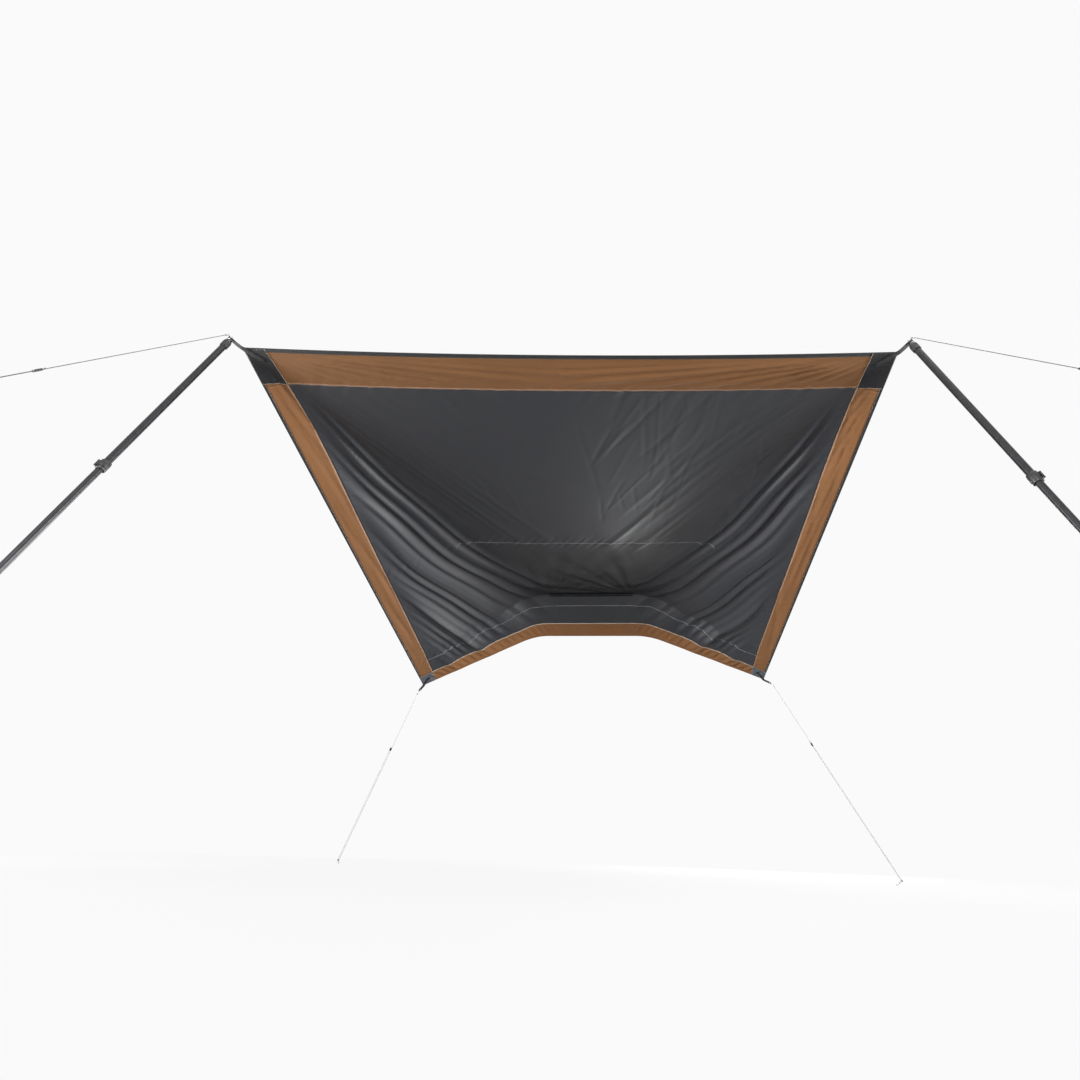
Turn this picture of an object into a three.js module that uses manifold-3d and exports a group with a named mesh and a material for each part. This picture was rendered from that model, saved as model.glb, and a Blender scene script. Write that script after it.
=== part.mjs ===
// Tarp awning pitched from a bolted-on rail: a square cloth roof with brown bands, two telescopic
// poles at its front corners and four guylines with runners and pegs.
// Millimetres, +Z up. The origin is half way along the rail, right below its keder, on the flat
// underside that is screwed down. X runs along the rail, the open front of the awning is towards -Y.
import * as THREE from "three";
import { mergeVertices } from "three/addons/utils/BufferGeometryUtils.js";
import Module from "manifold-3d";

const wasm = await Module();
wasm.setup();

// Fits shared by the whole part
const GAP = 0.3;
const OVERRUN = 1;
const WELD = 0.001;
const BOTH = [-1, 1];
const SIDE_NAME = { "-1": "left", "1": "right" };

// Cloth as cut: roof cloth with a wide band in front and narrower ones at the sides and the rear
const CUT_WIDTH = 3860;
const CUT_LENGTH = 3870;
const HALF_WIDTH = CUT_WIDTH / 2;
const CLOTH = 1.5;
const FRONT_BAND = 280;
const SIDE_BAND = 140;
const REAR_BAND = 150;
const WEBBING_WIDTH = 28;
const BINDING_WIDTH = 14;
const EDGE_TAPE = 3;
const SEAM_GAP = 0.5;
const CROSS_SEAM = 2200;
const BEHIND_RIDGE = 480;
const RIDGE_LINE = CUT_LENGTH - BEHIND_RIDGE;

// Cloth as pitched
const RIDGE_HEIGHT = 22;
const ROOF_SLACK = 5;
const FRONT_REACH = RIDGE_LINE - ROOF_SLACK;
const FRONT_RISE = 96;
const FRONT_SKEW_Y = 80;
const FRONT_SKEW_Z = -48;
const REAR_HALF_WIDTH = 1820;
const REAR_REACH = 305;
const REAR_DROP = 893;
const REAR_SKEW_Y = 57;
const REAR_SKEW_Z = 60;
const HIND_EDGE_REACH = 310;
const HIND_EDGE_DROP = 370;
const RIDGE_FOLD = 630;
const foldBendShare = 1.28;
const FOLD_ROUND = 150;
const FRONT_SAG = 45;
const ROOF_SAG = 30;
const NORMAL_STEP = 12;

// Folds of the flaps. They follow the levels of a field that rises outwards and backwards.
const PLEAT_DEPTH = 26;
const FIELD_ACROSS = 200;
const FIELD_AHEAD = 3900;
const fieldPowerShare = 1.7;
const fieldBackShare = 1.6;
const fieldStartShare = 1.165;
const fieldFullShare = 1.225;
const firstFoldShare = 1.25;
const foldStepShare = 0.12;
const pleatFallShare = 0.62;
const rearCalmShare = 0.75;
const PLEAT_NEAR = 490;
const PLEAT_FULL = 700;
const CORNER_NEAR = 250;
const CORNER_FULL = 1100;
const REAR_CALM = 370;

// Grid of the cloth
const CENTRE_HALF = 400;
const CENTRE_STEPS = 4;
const FLAP_STEPS = 17;
const FRONT_ROWS = 14;
const REAR_ROWS_TO_RIDGE = 12;
const BAND_STEPS = 2;
const BAND_ROWS = 2;

// Corner patches and tabs
const PATCH = 1.2;
const PATCH_SKEW = 30;
const PATCH_INSET = 2;
const PATCH_CUTTER = 90;
const TAB_WIDTH = 30;
const TAB = 3;
const TAB_INSIDE = 130;
const TAB_OUTER = 18;
const TAB_JOIN = 20;
const TAB_STEP = 2.6;
const TAB_OVER_EDGE = 9;
const TAB_REACH = 72;
const TAB_BEYOND_EYELET = 15;
const EYELET_BORE = 5.5;
const EYELET_BARREL = 6.8;
const EYELET_FLANGE = 10.5;
const EYELET_LIP = 1;

// Ground and the feet of poles and guylines
const GROUND = -2680;
const POLE_OUT = 500;
const POLE_FORWARD = 550;
const FRONT_PEG_OUT = 500;
const FRONT_PEG_FORWARD = 2080;
const REAR_PEG_OUT = 1100;
const REAR_PEG_BACK = 700;
const REAR_PEG_SKEW = -450;

// Telescopic pole
const UPPER_R = 17.5;
const MIDDLE_R = 15.5;
const LOWER_R = 13.5;
const TUBE_WALL = 1.2;
const sectionShare = 0.403;
const SECTION_LENGTH = -GROUND * sectionShare;
const MIDDLE_OVERLAP = 110;
const POLE_SIDES = 16;
const SPIGOT_R = 4;
const SPIGOT_TOP = 26;
const SPIGOT_CHAMFER = 2;
const BALL_STEPS = 4;
const NECK_R = 4;
const NECK_DOWN = 7;
const HEAD_SHOULDER_R = 17;
const HEAD_SHOULDER_DOWN = 20;
const HEAD_R = 22;
const HEAD_BELLY_DOWN = 40;
const HEAD_WALL = 3.4;
const HEAD_PLUG_DOWN = 32;
const HEAD_LENGTH = 80;
const FOOT_LENGTH = 46;
const FOOT_FLOOR = 9;
const FOOT_R = 22;
const FOOT_WALL = 3.2;
const FOOT_CHAMFER = 3;

// Flip lock on each joint of the pole
const COLLAR_HEIGHT = 56;
const COLLAR_WALL = 5.5;
const COLLAR_SLOT = 3;
const COLLAR_CHAMFER = 2;
const LEVER_HEIGHT = 26;
const LEVER_THICK = 3.6;
const LEVER_LIFT = 0.8;
const LEVER_EYE_R = 4.8;
const LEVER_PIN_R = 2;
const LEVER_BORE_GAP = 0.3;
const LUG_HEIGHT = 6;
const LUG_WIDTH = 10;
const LEVER_SWEEP = THREE.MathUtils.degToRad(128);
const LEVER_TIP_SWEEP = THREE.MathUtils.degToRad(14);
const LEVER_TIP_FLARE = 3.2;
const LEVER_ARC_STEPS = 12;
const SLOT_TURN = THREE.MathUtils.degToRad(-26);

// Guylines
const CORD_R = 1.75;
const CORD_SIDES = 8;
const CORD_TAIL = 10;
const TURN_STEPS = 8;
const runnerShare = 0.33;
const HOOK_WIRE_R = 2;
const HOOK_EYE_R = 9.6;
const HOOK_ROUND = 16;
const HOOK_WIRE_SIDES = 6;
const HOOK_SHANK = 20;
const FERRULE_R = 4.6;
const FERRULE_LENGTH = 26;
const FERRULE_BORE_GAP = 0.5;
const FERRULE_BORE_DEPTH = 14;
const FERRULE_BEND = 6;
const RUNNER_LENGTH = 34;
const RUNNER_THICK = 9;
const RUNNER_RIM = 5;
const RUNNER_BORE_GAP = 0.5;
const PEG_LENGTH = 270;
const PEG_R = 4;
const PEG_POINT = 22;
const PEG_NECK = 6;
const PEG_CLEAR = 0.8;
const PEG_COLLAR_R = 9;
const PEG_COLLAR = 2.5;
const PEG_HEAD_R = 9;
const PEG_HEAD = 4;
const PEG_SIDES = 12;
const PEG_EYE_ABOVE_GROUND = 30;

// Rail and keder
const RAIL_LENGTH = 900;
const RAIL_FLANGE_FRONT = 32;
const RAIL_FLANGE_BACK = 9;
const RAIL_FLANGE = 2.2;
const KEDER_BORE_R = 4.4;
const KEDER_TUBE_R = 6.4;
const KEDER_HEIGHT = 8.2;
const KEDER_SLOT = 3;
const KEDER_BEAD_R = 3.9;
const KEDER_TAIL = 1;
const KEDER_TAIL_TOP = 19.8;
const RAIL_CAP = 3;
const RAIL_CAP_PLUG = 12;
const RAIL_CAP_LIP = 0.6;
const SCREW_HOLE_R = 2.6;
const SCREW_PITCH = 200;
const SCREW_HOLES = 4;
const SCREW_HOLE_FRONT = 20;
const ARC_POINTS = 5;

// Finishes
const FINISH = {
  roofCloth: { color: 0x4a4b50, roughness: 0.72, metalness: 0 },
  bandCloth: { color: 0x8a5f3c, roughness: 0.85, metalness: 0 },
  webbing: { color: 0x1b1b1d, roughness: 0.8, metalness: 0 },
  patch: { color: 0x27272a, roughness: 0.7, metalness: 0 },
  steel: { color: 0xb9bcc0, roughness: 0.3, metalness: 1 },
  tube: { color: 0x202124, roughness: 0.42, metalness: 0.8 },
  plastic: { color: 0x151517, roughness: 0.55, metalness: 0 },
  rubber: { color: 0x1a1a1a, roughness: 0.9, metalness: 0 },
  cord: { color: 0xb8babd, roughness: 0.8, metalness: 0 },
  rail: { color: 0x2a2b2e, roughness: 0.45, metalness: 0.7 },
};

const awning = new THREE.Group();

// Small helpers

function addPiece(parent, name, geometry, finish) {
  const mesh = new THREE.Mesh(geometry, new THREE.MeshStandardMaterial(FINISH[finish]));
  mesh.name = name;
  parent.add(mesh);
  return mesh;
}

function vec(x, y, z) {
  return new THREE.Vector3(x, y, z);
}

function along(start, direction, distance) {
  return start.clone().addScaledVector(direction, distance);
}

function smooth(low, high, value) {
  return THREE.MathUtils.smoothstep(value, low, high);
}

function lathe(profile, sides) {
  return new THREE.LatheGeometry(profile.map(([r, y]) => new THREE.Vector2(r, y)), sides);
}

// A closed lathe profile of a tube between two heights
function tube(inner, outer, bottom, top, sides) {
  const profile = [[inner, bottom], [outer, bottom], [outer, top], [inner, top], [inner, bottom]];
  return lathe(profile, sides);
}

function triangleList(geometry) {
  const index = geometry.index.array;
  const kept = [];
  for (let i = 0; i < index.length; i += 3) {
    const [a, b, c] = [index[i], index[i + 1], index[i + 2]];
    if (a !== b && b !== c && c !== a) kept.push(a, b, c);
  }
  return kept;
}

function toSolid(geometry) {
  const bare = geometry.clone();
  bare.deleteAttribute("normal");
  bare.deleteAttribute("uv");
  const welded = mergeVertices(bare, WELD);
  return new wasm.Manifold(new wasm.Mesh({
    numProp: 3,
    vertProperties: welded.attributes.position.array,
    triVerts: Uint32Array.from(triangleList(welded)),
  }));
}

function fromSolid(solid) {
  const mesh = solid.getMesh();
  const geometry = new THREE.BufferGeometry();
  geometry.setAttribute("position", new THREE.BufferAttribute(mesh.vertProperties, 3));
  geometry.setIndex(new THREE.BufferAttribute(mesh.triVerts, 1));
  return geometry;
}

function joined(first, ...others) {
  return fromSolid(others.reduce((solid, other) => solid.add(toSolid(other)), toSolid(first)));
}

function cutBy(body, ...tools) {
  return fromSolid(tools.reduce((solid, tool) => solid.subtract(toSolid(tool)), toSolid(body)));
}

// A frame whose X, Y and Z columns are the three directions given
function frameOf(x, y, z, origin) {
  return new THREE.Matrix4().makeBasis(x, y, z).setPosition(origin);
}

function signedVolume(points, faces) {
  let volume = 0;
  for (let i = 0; i < faces.length; i += 3) {
    const [a, b, c] = [points[faces[i]], points[faces[i + 1]], points[faces[i + 2]]];
    volume += a.dot(b.clone().cross(c));
  }
  return volume;
}

// A closed body between an upper and a lower grid of points of the same layout
function bodyBetween(upper, lower) {
  const rows = upper.length;
  const columns = upper[0].length;
  const points = [...upper.flat(), ...lower.flat()];
  const below = rows * columns;
  const faces = [];
  const quad = (a, b, c, d) => faces.push(a, b, c, a, c, d);
  for (let j = 0; j + 1 < rows; j++) {
    for (let i = 0; i + 1 < columns; i++) {
      const k = j * columns + i;
      quad(k, k + 1, k + columns + 1, k + columns);
      quad(below + k, below + k + columns, below + k + columns + 1, below + k + 1);
    }
  }
  const rim = [];
  for (let i = 0; i < columns; i++) rim.push(i);
  for (let j = 1; j < rows; j++) rim.push(j * columns + columns - 1);
  for (let i = columns - 2; i >= 0; i--) rim.push((rows - 1) * columns + i);
  for (let j = rows - 2; j >= 1; j--) rim.push(j * columns);
  rim.forEach((k, i) => {
    const next = rim[(i + 1) % rim.length];
    quad(below + k, below + next, next, k);
  });
  if (signedVolume(points, faces) < 0) faces.reverse();
  const geometry = new THREE.BufferGeometry();
  geometry.setFromPoints(points);
  geometry.setIndex(faces);
  return geometry;
}

// Shape of the pitched cloth. A place on the cut cloth is (a, b): a across from the middle line,
// b back from the front edge.

function foldAt(b) {
  const ridgeShare = RIDGE_FOLD / HALF_WIDTH;
  const spread = Math.min(b / RIDGE_LINE, 1) ** foldBendShare;
  return HALF_WIDTH * (1 - (1 - ridgeShare) * spread);
}

// The middle of the roof: from the front edge up to the ridge, and down behind it
function roofPoint(a, b) {
  const share = a / HALF_WIDTH;
  if (b > RIDGE_LINE) {
    const back = (b - RIDGE_LINE) / (CUT_LENGTH - RIDGE_LINE);
    return vec(a, back * HIND_EDGE_REACH, RIDGE_HEIGHT - back * HIND_EDGE_DROP);
  }
  const front = 1 - b / RIDGE_LINE;
  const middle = 1 - share * share;
  const sag = middle * (front * FRONT_SAG + Math.sin(Math.PI * front) * ROOF_SAG);
  return vec(
    a,
    -front * (FRONT_REACH - share * FRONT_SKEW_Y),
    RIDGE_HEIGHT + front * (FRONT_RISE + share * FRONT_SKEW_Z) - sag,
  );
}

function sideEdgePoint(side, b) {
  const front = roofPoint(side * HALF_WIDTH, 0);
  const rear = vec(
    side * REAR_HALF_WIDTH,
    REAR_REACH + side * REAR_SKEW_Y,
    RIDGE_HEIGHT - REAR_DROP + side * REAR_SKEW_Z,
  );
  return front.lerp(rear, b / CUT_LENGTH);
}

// Zero before the fold and a straight slope after it, with a round turn between
function pastFold(distance) {
  if (distance <= -FOLD_ROUND) return 0;
  if (distance >= FOLD_ROUND) return distance;
  return (distance + FOLD_ROUND) ** 2 / (FOLD_ROUND * 4);
}

function foldField(a, b) {
  const across = Math.abs(Math.abs(a) - FIELD_ACROSS) / (HALF_WIDTH - FIELD_ACROSS);
  const back = (b + FIELD_AHEAD) / (CUT_LENGTH + FIELD_AHEAD);
  const sum = across ** fieldPowerShare + fieldBackShare * back ** fieldPowerShare;
  return sum ** (1 / fieldPowerShare);
}

function pleatHeight(a, b, flapShare) {
  const field = foldField(a, b);
  const wave = -Math.cos(((field - firstFoldShare) / foldStepShare) * Math.PI * 2);
  const inner = smooth(fieldStartShare, fieldFullShare, field)
    * smooth(PLEAT_NEAR, PLEAT_FULL, Math.abs(a));
  const outer = 1 - smooth(pleatFallShare, 1, flapShare);
  const corner = smooth(CORNER_NEAR, CORNER_FULL, Math.hypot(HALF_WIDTH - Math.abs(a), b));
  const rear = 1 - rearCalmShare * smooth(CUT_LENGTH - REAR_CALM, CUT_LENGTH, b);
  return PLEAT_DEPTH * wave * inner * outer * corner * rear;
}

function clothPoint(a, b) {
  const side = a < 0 ? -1 : 1;
  const fold = foldAt(b);
  const flapWidth = HALF_WIDTH - fold;
  const share = pastFold(Math.abs(a) - fold) / pastFold(flapWidth);
  const point = roofPoint(side * (Math.abs(a) - share * flapWidth), b);
  const slope = sideEdgePoint(side, b).sub(roofPoint(side * fold, b));
  point.addScaledVector(slope, share);
  point.z += pleatHeight(a, b, share);
  return point;
}

function clothNormal(a, b) {
  const acrossStep = clothPoint(a + NORMAL_STEP, b).sub(clothPoint(a - NORMAL_STEP, b));
  const low = Math.max(b - NORMAL_STEP, 0);
  const alongStep = clothPoint(a, b + NORMAL_STEP).sub(clothPoint(a, low));
  return acrossStep.cross(alongStep).normalize();
}

// A layer of cloth over a grid of places on the cut, lifted off the cloth's middle surface
function clothBody(places, thickness, lift) {
  const layer = (height) => places.map((row) => row.map(([a, b]) =>
    along(clothPoint(a, b), clothNormal(a, b), height)));
  return bodyBetween(layer(lift + thickness / 2), layer(lift - thickness / 2));
}

function steps(from, to, count) {
  return Array.from({ length: count + 1 }, (_, i) => from + ((to - from) * i) / count);
}

const bandInner = HALF_WIDTH - SIDE_BAND;
const tapeInner = HALF_WIDTH - BINDING_WIDTH;
const rearBandStart = CUT_LENGTH - REAR_BAND;
const flapStops = [
  ...steps(CENTRE_HALF, bandInner, FLAP_STEPS),
  ...steps(bandInner, tapeInner, BAND_STEPS).slice(1),
];
const acrossStops = [
  ...flapStops.map((a) => -a),
  ...steps(-CENTRE_HALF, CENTRE_HALF, CENTRE_STEPS),
  ...flapStops,
];
const alongStops = [
  ...steps(WEBBING_WIDTH, FRONT_BAND, BAND_ROWS),
  ...steps(FRONT_BAND, CROSS_SEAM, FRONT_ROWS),
  ...steps(CROSS_SEAM, RIDGE_LINE, REAR_ROWS_TO_RIDGE),
  ...steps(rearBandStart, CUT_LENGTH, BAND_ROWS),
];

// The stops of the shared grid that lie inside a span, with the span's own ends
function stopsWithin(stops, from, to) {
  const inside = stops.filter((s) => s > from + SEAM_GAP * 2 && s < to - SEAM_GAP * 2);
  return [...new Set([from, ...inside, to])].sort((p, q) => p - q);
}

function clothGrid([a0, a1], [b0, b1]) {
  const across = stopsWithin(acrossStops, a0, a1);
  return stopsWithin(alongStops, b0, b1).map((b) => across.map((a) => [a, b]));
}

function clothPanel(name, acrossSpan, alongSpan, thickness, finish) {
  const places = clothGrid(acrossSpan, alongSpan);
  addPiece(awning, name, clothBody(places, thickness, 0), finish);
}

function addRoof() {
  const panel = [SEAM_GAP - bandInner, bandInner - SEAM_GAP];
  const inTapes = [SEAM_GAP - tapeInner, tapeInner - SEAM_GAP];
  const wide = [-HALF_WIDTH, HALF_WIDTH];
  clothPanel("roof_panel_front", panel, [FRONT_BAND + SEAM_GAP, CROSS_SEAM], CLOTH, "roofCloth");
  clothPanel("roof_panel_rear", panel, [CROSS_SEAM + SEAM_GAP, rearBandStart - SEAM_GAP], CLOTH,
    "roofCloth");
  clothPanel("front_band", inTapes, [WEBBING_WIDTH + SEAM_GAP, FRONT_BAND], CLOTH, "bandCloth");
  clothPanel("rear_band", inTapes, [rearBandStart, CUT_LENGTH], CLOTH, "bandCloth");
  clothPanel("front_webbing", wide, [0, WEBBING_WIDTH], EDGE_TAPE, "webbing");
  for (const side of BOTH) {
    const band = [side * bandInner, side * (tapeInner - SEAM_GAP)].sort((p, q) => p - q);
    const tape = [side * tapeInner, side * HALF_WIDTH].sort((p, q) => p - q);
    clothPanel(`side_band_${SIDE_NAME[side]}`, band,
      [FRONT_BAND + SEAM_GAP, rearBandStart - SEAM_GAP], CLOTH, "bandCloth");
    clothPanel(`side_binding_${SIDE_NAME[side]}`, tape, [WEBBING_WIDTH + SEAM_GAP, CUT_LENGTH],
      EDGE_TAPE, "webbing");
  }
}

// Corners: a patch under the cloth, and a webbing tab with an eyelet under the patch

const patchLift = -(EDGE_TAPE / 2 + GAP + PATCH / 2);
const tabLift = patchLift - PATCH / 2 - GAP - TAB / 2;

function cornerPlace(side, end, fromSide, fromEdge) {
  const b = end === "front" ? fromEdge : CUT_LENGTH - fromEdge;
  return [side * (HALF_WIDTH - fromSide), b];
}

// A layer under a corner of the cloth, cut to an outline of distances from the side and the edge
function underCorner(side, end, outline, thickness, lift) {
  const acrossSpan = [side * bandInner, side * HALF_WIDTH].sort((p, q) => p - q);
  const alongSpan = end === "front" ? [0, FRONT_BAND] : [rearBandStart, CUT_LENGTH];
  const layer = clothBody(clothGrid(acrossSpan, alongSpan), thickness, lift);
  const places = outline.map(([fromSide, fromEdge]) => cornerPlace(side, end, fromSide, fromEdge));
  const normal = clothNormal(...places[0]);
  const wall = (height) => [[places[0], places[1]], [places[3], places[2]]].map((row) =>
    row.map(([a, b]) => along(clothPoint(a, b), normal, height)));
  const cutter = bodyBetween(wall(PATCH_CUTTER), wall(-PATCH_CUTTER));
  return toSolid(layer).intersect(toSolid(cutter));
}

function addPatch(side, end) {
  const inner = end === "front" ? FRONT_BAND : REAR_BAND;
  const outer = end === "front" ? FRONT_BAND - PATCH_SKEW : REAR_BAND;
  const outline = [
    [PATCH_INSET, PATCH_INSET],
    [SIDE_BAND - PATCH_INSET, PATCH_INSET],
    [SIDE_BAND - PATCH_INSET, inner - PATCH_INSET],
    [PATCH_INSET, outer - PATCH_INSET],
  ];
  addPiece(awning, `corner_patch_${end}_${SIDE_NAME[side]}`,
    fromSolid(underCorner(side, end, outline, PATCH, patchLift)), "patch");
}

// Where things stand. A guyline's top is at the eyelet of its corner.

function cornerPoint(side, end) {
  const [a, b] = cornerPlace(side, end, 0, 0);
  return clothPoint(a, b);
}

function pegPoint(side, end) {
  const corner = cornerPoint(side, end);
  const z = GROUND + PEG_EYE_ABOVE_GROUND;
  if (end === "front") {
    return vec(corner.x + side * FRONT_PEG_OUT, corner.y - FRONT_PEG_FORWARD, z);
  }
  const back = REAR_PEG_BACK + side * REAR_PEG_SKEW;
  return vec(corner.x + side * REAR_PEG_OUT, corner.y + back, z);
}

function poleUp(side) {
  const corner = cornerPoint(side, "front");
  return vec(-side * POLE_OUT, POLE_FORWARD, corner.z - GROUND).normalize();
}

// The frame of a corner's tab: x outward along it, z the axis of its eyelet
function tabFrame(side, end) {
  const corner = cornerPoint(side, end);
  const inward = end === "front" ? 1 : -1;
  const outwards = vec(side, -inward, 0).normalize();
  const pull = pegPoint(side, end).sub(corner).normalize();
  const [a, b] = cornerPlace(side, end, TAB_INSIDE / 2, TAB_INSIDE / 2);
  const axis = end === "front" ? poleUp(side) : clothNormal(a, b);
  const guide = end === "front" ? outwards : pull;
  const x = along(guide, axis, -guide.dot(axis)).normalize();
  const y = axis.clone().cross(x);
  return frameOf(x, y, axis, along(corner, x, TAB_REACH));
}

function bentStrip(places, thickness, width) {
  const normals = places.map((_, i) => {
    const before = places[Math.max(i - 1, 0)];
    const after = places[Math.min(i + 1, places.length - 1)];
    const run = after.clone().sub(before).normalize();
    return new THREE.Vector2(-run.y, run.x);
  });
  const side = (height) => places.map((p, i) => p.clone().addScaledVector(normals[i], height));
  const shape = new THREE.Shape([...side(-thickness / 2), ...side(thickness / 2).reverse()]);
  const strip = new THREE.ExtrudeGeometry(shape, { depth: width, bevelEnabled: false });
  strip.translate(0, 0, -width / 2);
  strip.rotateX(Math.PI / 2);
  return strip;
}

// The sewn end of a tab, which lies under the corner patch
function sewnTab(side, end) {
  const half = (TAB_WIDTH / 2) * Math.SQRT1_2;
  const near = TAB_OUTER * Math.SQRT1_2;
  const far = TAB_INSIDE * Math.SQRT1_2;
  const outline = [
    [near + half, near - half],
    [far + half, far - half],
    [far - half, far + half],
    [near - half, near + half],
  ];
  return underCorner(side, end, outline, TAB, tabLift);
}

function addTab(side, end) {
  const frame = tabFrame(side, end);
  const back = frame.clone().invert();
  const under = (inside) => {
    const inset = inside * Math.SQRT1_2;
    const [a, b] = cornerPlace(side, end, inset, inset);
    const lift = tabLift - TAB_STEP;
    const p = along(clothPoint(a, b), clothNormal(a, b), lift).applyMatrix4(back);
    return new THREE.Vector2(p.x, p.z);
  };
  const edge = under(0);
  const outward = edge.clone().sub(under(TAB_JOIN)).normalize();
  const places = [
    under(TAB_JOIN),
    edge.clone().addScaledVector(outward, TAB_OVER_EDGE),
    new THREE.Vector2(-EYELET_FLANGE - TAB, 0),
    new THREE.Vector2(TAB_BEYOND_EYELET, 0),
  ];
  const hole = new THREE.CylinderGeometry(EYELET_BARREL + GAP, EYELET_BARREL + GAP,
    TAB + OVERRUN * 2, POLE_SIDES);
  hole.rotateX(Math.PI / 2);
  const free = cutBy(bentStrip(places, TAB, TAB_WIDTH), hole).applyMatrix4(frame);
  const name = `${end}_${SIDE_NAME[side]}`;
  const tab = fromSolid(sewnTab(side, end).add(toSolid(free)));
  addPiece(awning, `corner_tab_${name}`, tab, "webbing");
  const flange = TAB / 2 + GAP;
  const eyelet = lathe([
    [EYELET_BORE, -flange - EYELET_LIP],
    [EYELET_FLANGE, -flange - EYELET_LIP],
    [EYELET_FLANGE, -flange],
    [EYELET_BARREL, -flange],
    [EYELET_BARREL, flange],
    [EYELET_FLANGE, flange],
    [EYELET_FLANGE, flange + EYELET_LIP],
    [EYELET_BORE, flange + EYELET_LIP],
    [EYELET_BORE, -flange - EYELET_LIP],
  ], POLE_SIDES);
  eyelet.rotateX(Math.PI / 2);
  addPiece(awning, `eyelet_${name}`, eyelet, "steel").applyMatrix4(frame);
}

// Telescopic poles. In a pole's own group +Y runs up the pole and y = 0 is its eyelet.

// The head has a ball on which the eyelet sits, under the pin that takes the guyline's eye
function headShape() {
  const bore = UPPER_R + GAP;
  const ballR = EYELET_BORE - GAP;
  const pole = Math.acos(SPIGOT_R / ballR);
  return lathe([
    [0, SPIGOT_TOP],
    [SPIGOT_R - SPIGOT_CHAMFER, SPIGOT_TOP],
    [SPIGOT_R, SPIGOT_TOP - SPIGOT_CHAMFER],
    ...steps(pole, -pole, BALL_STEPS).map((turn) =>
      [ballR * Math.cos(turn), ballR * Math.sin(turn)]),
    [NECK_R, -NECK_DOWN],
    [HEAD_SHOULDER_R, -HEAD_SHOULDER_DOWN],
    [HEAD_R, -HEAD_BELLY_DOWN],
    [bore + HEAD_WALL, -HEAD_LENGTH],
    [bore, -HEAD_LENGTH],
    [bore, -HEAD_PLUG_DOWN],
    [0, -HEAD_PLUG_DOWN],
  ].reverse(), POLE_SIDES);
}

function footShape(length) {
  const bore = LOWER_R + GAP;
  return lathe([
    [0, -length],
    [FOOT_R - FOOT_CHAMFER, -length],
    [FOOT_R, FOOT_CHAMFER - length],
    [FOOT_R, FOOT_FLOOR - length],
    [bore + FOOT_WALL, FOOT_FLOOR * 2 - length],
    [bore + FOOT_WALL, FOOT_LENGTH - length],
    [bore, FOOT_LENGTH - length],
    [bore, FOOT_FLOOR - length],
    [0, FOOT_FLOOR - length],
  ], POLE_SIDES);
}

function cylinderAt(radius, height, place, sides) {
  return new THREE.CylinderGeometry(radius, radius, height, sides).translate(...place);
}

const leverPivot = (outer) => outer + LEVER_EYE_R + LEVER_LIFT;

// A split collar: its upper half grips the outer tube, its lower half closes on the inner one
function collarShape(outerTube, innerTube) {
  const outer = outerTube + COLLAR_WALL;
  const half = COLLAR_HEIGHT / 2;
  const ring = lathe([
    [innerTube + GAP, -half],
    [outer - COLLAR_CHAMFER, -half],
    [outer, COLLAR_CHAMFER - half],
    [outer, half - COLLAR_CHAMFER],
    [outer - COLLAR_CHAMFER, half],
    [outerTube + GAP, half],
    [outerTube + GAP, 0],
    [innerTube + GAP, 0],
    [innerTube + GAP, -half],
  ], POLE_SIDES);
  const pivot = leverPivot(outer);
  const lugInner = outer - COLLAR_WALL / 2;
  const lugLength = pivot + LEVER_EYE_R - lugInner;
  const lugGap = LEVER_HEIGHT / 2 + GAP;
  const lugs = BOTH.map((end) => new THREE.BoxGeometry(lugLength, LUG_HEIGHT, LUG_WIDTH)
    .translate(lugInner + lugLength / 2, end * (lugGap + LUG_HEIGHT / 2), 0));
  const pin = cylinderAt(LEVER_PIN_R, lugGap * 2 + LUG_HEIGHT, [pivot, 0, 0], POLE_SIDES);
  const slot = new THREE.BoxGeometry(outer * 2, half + OVERRUN, COLLAR_SLOT)
    .translate(outer, -(half + OVERRUN) / 2 - GAP, 0)
    .rotateY(SLOT_TURN);
  const split = toSolid(ring).subtract(toSolid(slot));
  const whole = [...lugs, pin].reduce((solid, piece) => solid.add(toSolid(piece)), split);
  return fromSolid(whole);
}

// A lever that lies round the collar, with an eye on the collar's pin
function leverShape(outer) {
  const pivot = leverPivot(outer);
  const inner = outer + LEVER_LIFT;
  const arc = (radius, from, to) => steps(from, to, LEVER_ARC_STEPS).map((turn) =>
    new THREE.Vector2(radius * Math.cos(turn), radius * Math.sin(turn)));
  const flare = (radius) => new THREE.Vector2(
    (radius + LEVER_TIP_FLARE) * Math.cos(LEVER_SWEEP + LEVER_TIP_SWEEP),
    (radius + LEVER_TIP_FLARE) * Math.sin(LEVER_SWEEP + LEVER_TIP_SWEEP),
  );
  const band = new THREE.Shape([
    ...arc(inner, 0, LEVER_SWEEP),
    flare(inner),
    flare(inner + LEVER_THICK),
    ...arc(inner + LEVER_THICK, 0, LEVER_SWEEP).reverse(),
  ]);
  const depth = { depth: LEVER_HEIGHT, bevelEnabled: false };
  const arm = new THREE.ExtrudeGeometry(band, depth);
  const eye = new THREE.CylinderGeometry(LEVER_EYE_R, LEVER_EYE_R, LEVER_HEIGHT, POLE_SIDES);
  eye.rotateX(Math.PI / 2);
  eye.translate(pivot, 0, LEVER_HEIGHT / 2);
  const boreR = LEVER_PIN_R + LEVER_BORE_GAP;
  const bore = new THREE.CylinderGeometry(boreR, boreR, LEVER_HEIGHT + OVERRUN * 2, POLE_SIDES);
  bore.rotateX(Math.PI / 2);
  bore.translate(pivot, 0, LEVER_HEIGHT / 2);
  const lever = fromSolid(toSolid(arm).add(toSolid(eye)).subtract(toSolid(bore)));
  lever.translate(0, 0, -LEVER_HEIGHT / 2);
  lever.rotateX(-Math.PI / 2);
  return lever;
}

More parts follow.
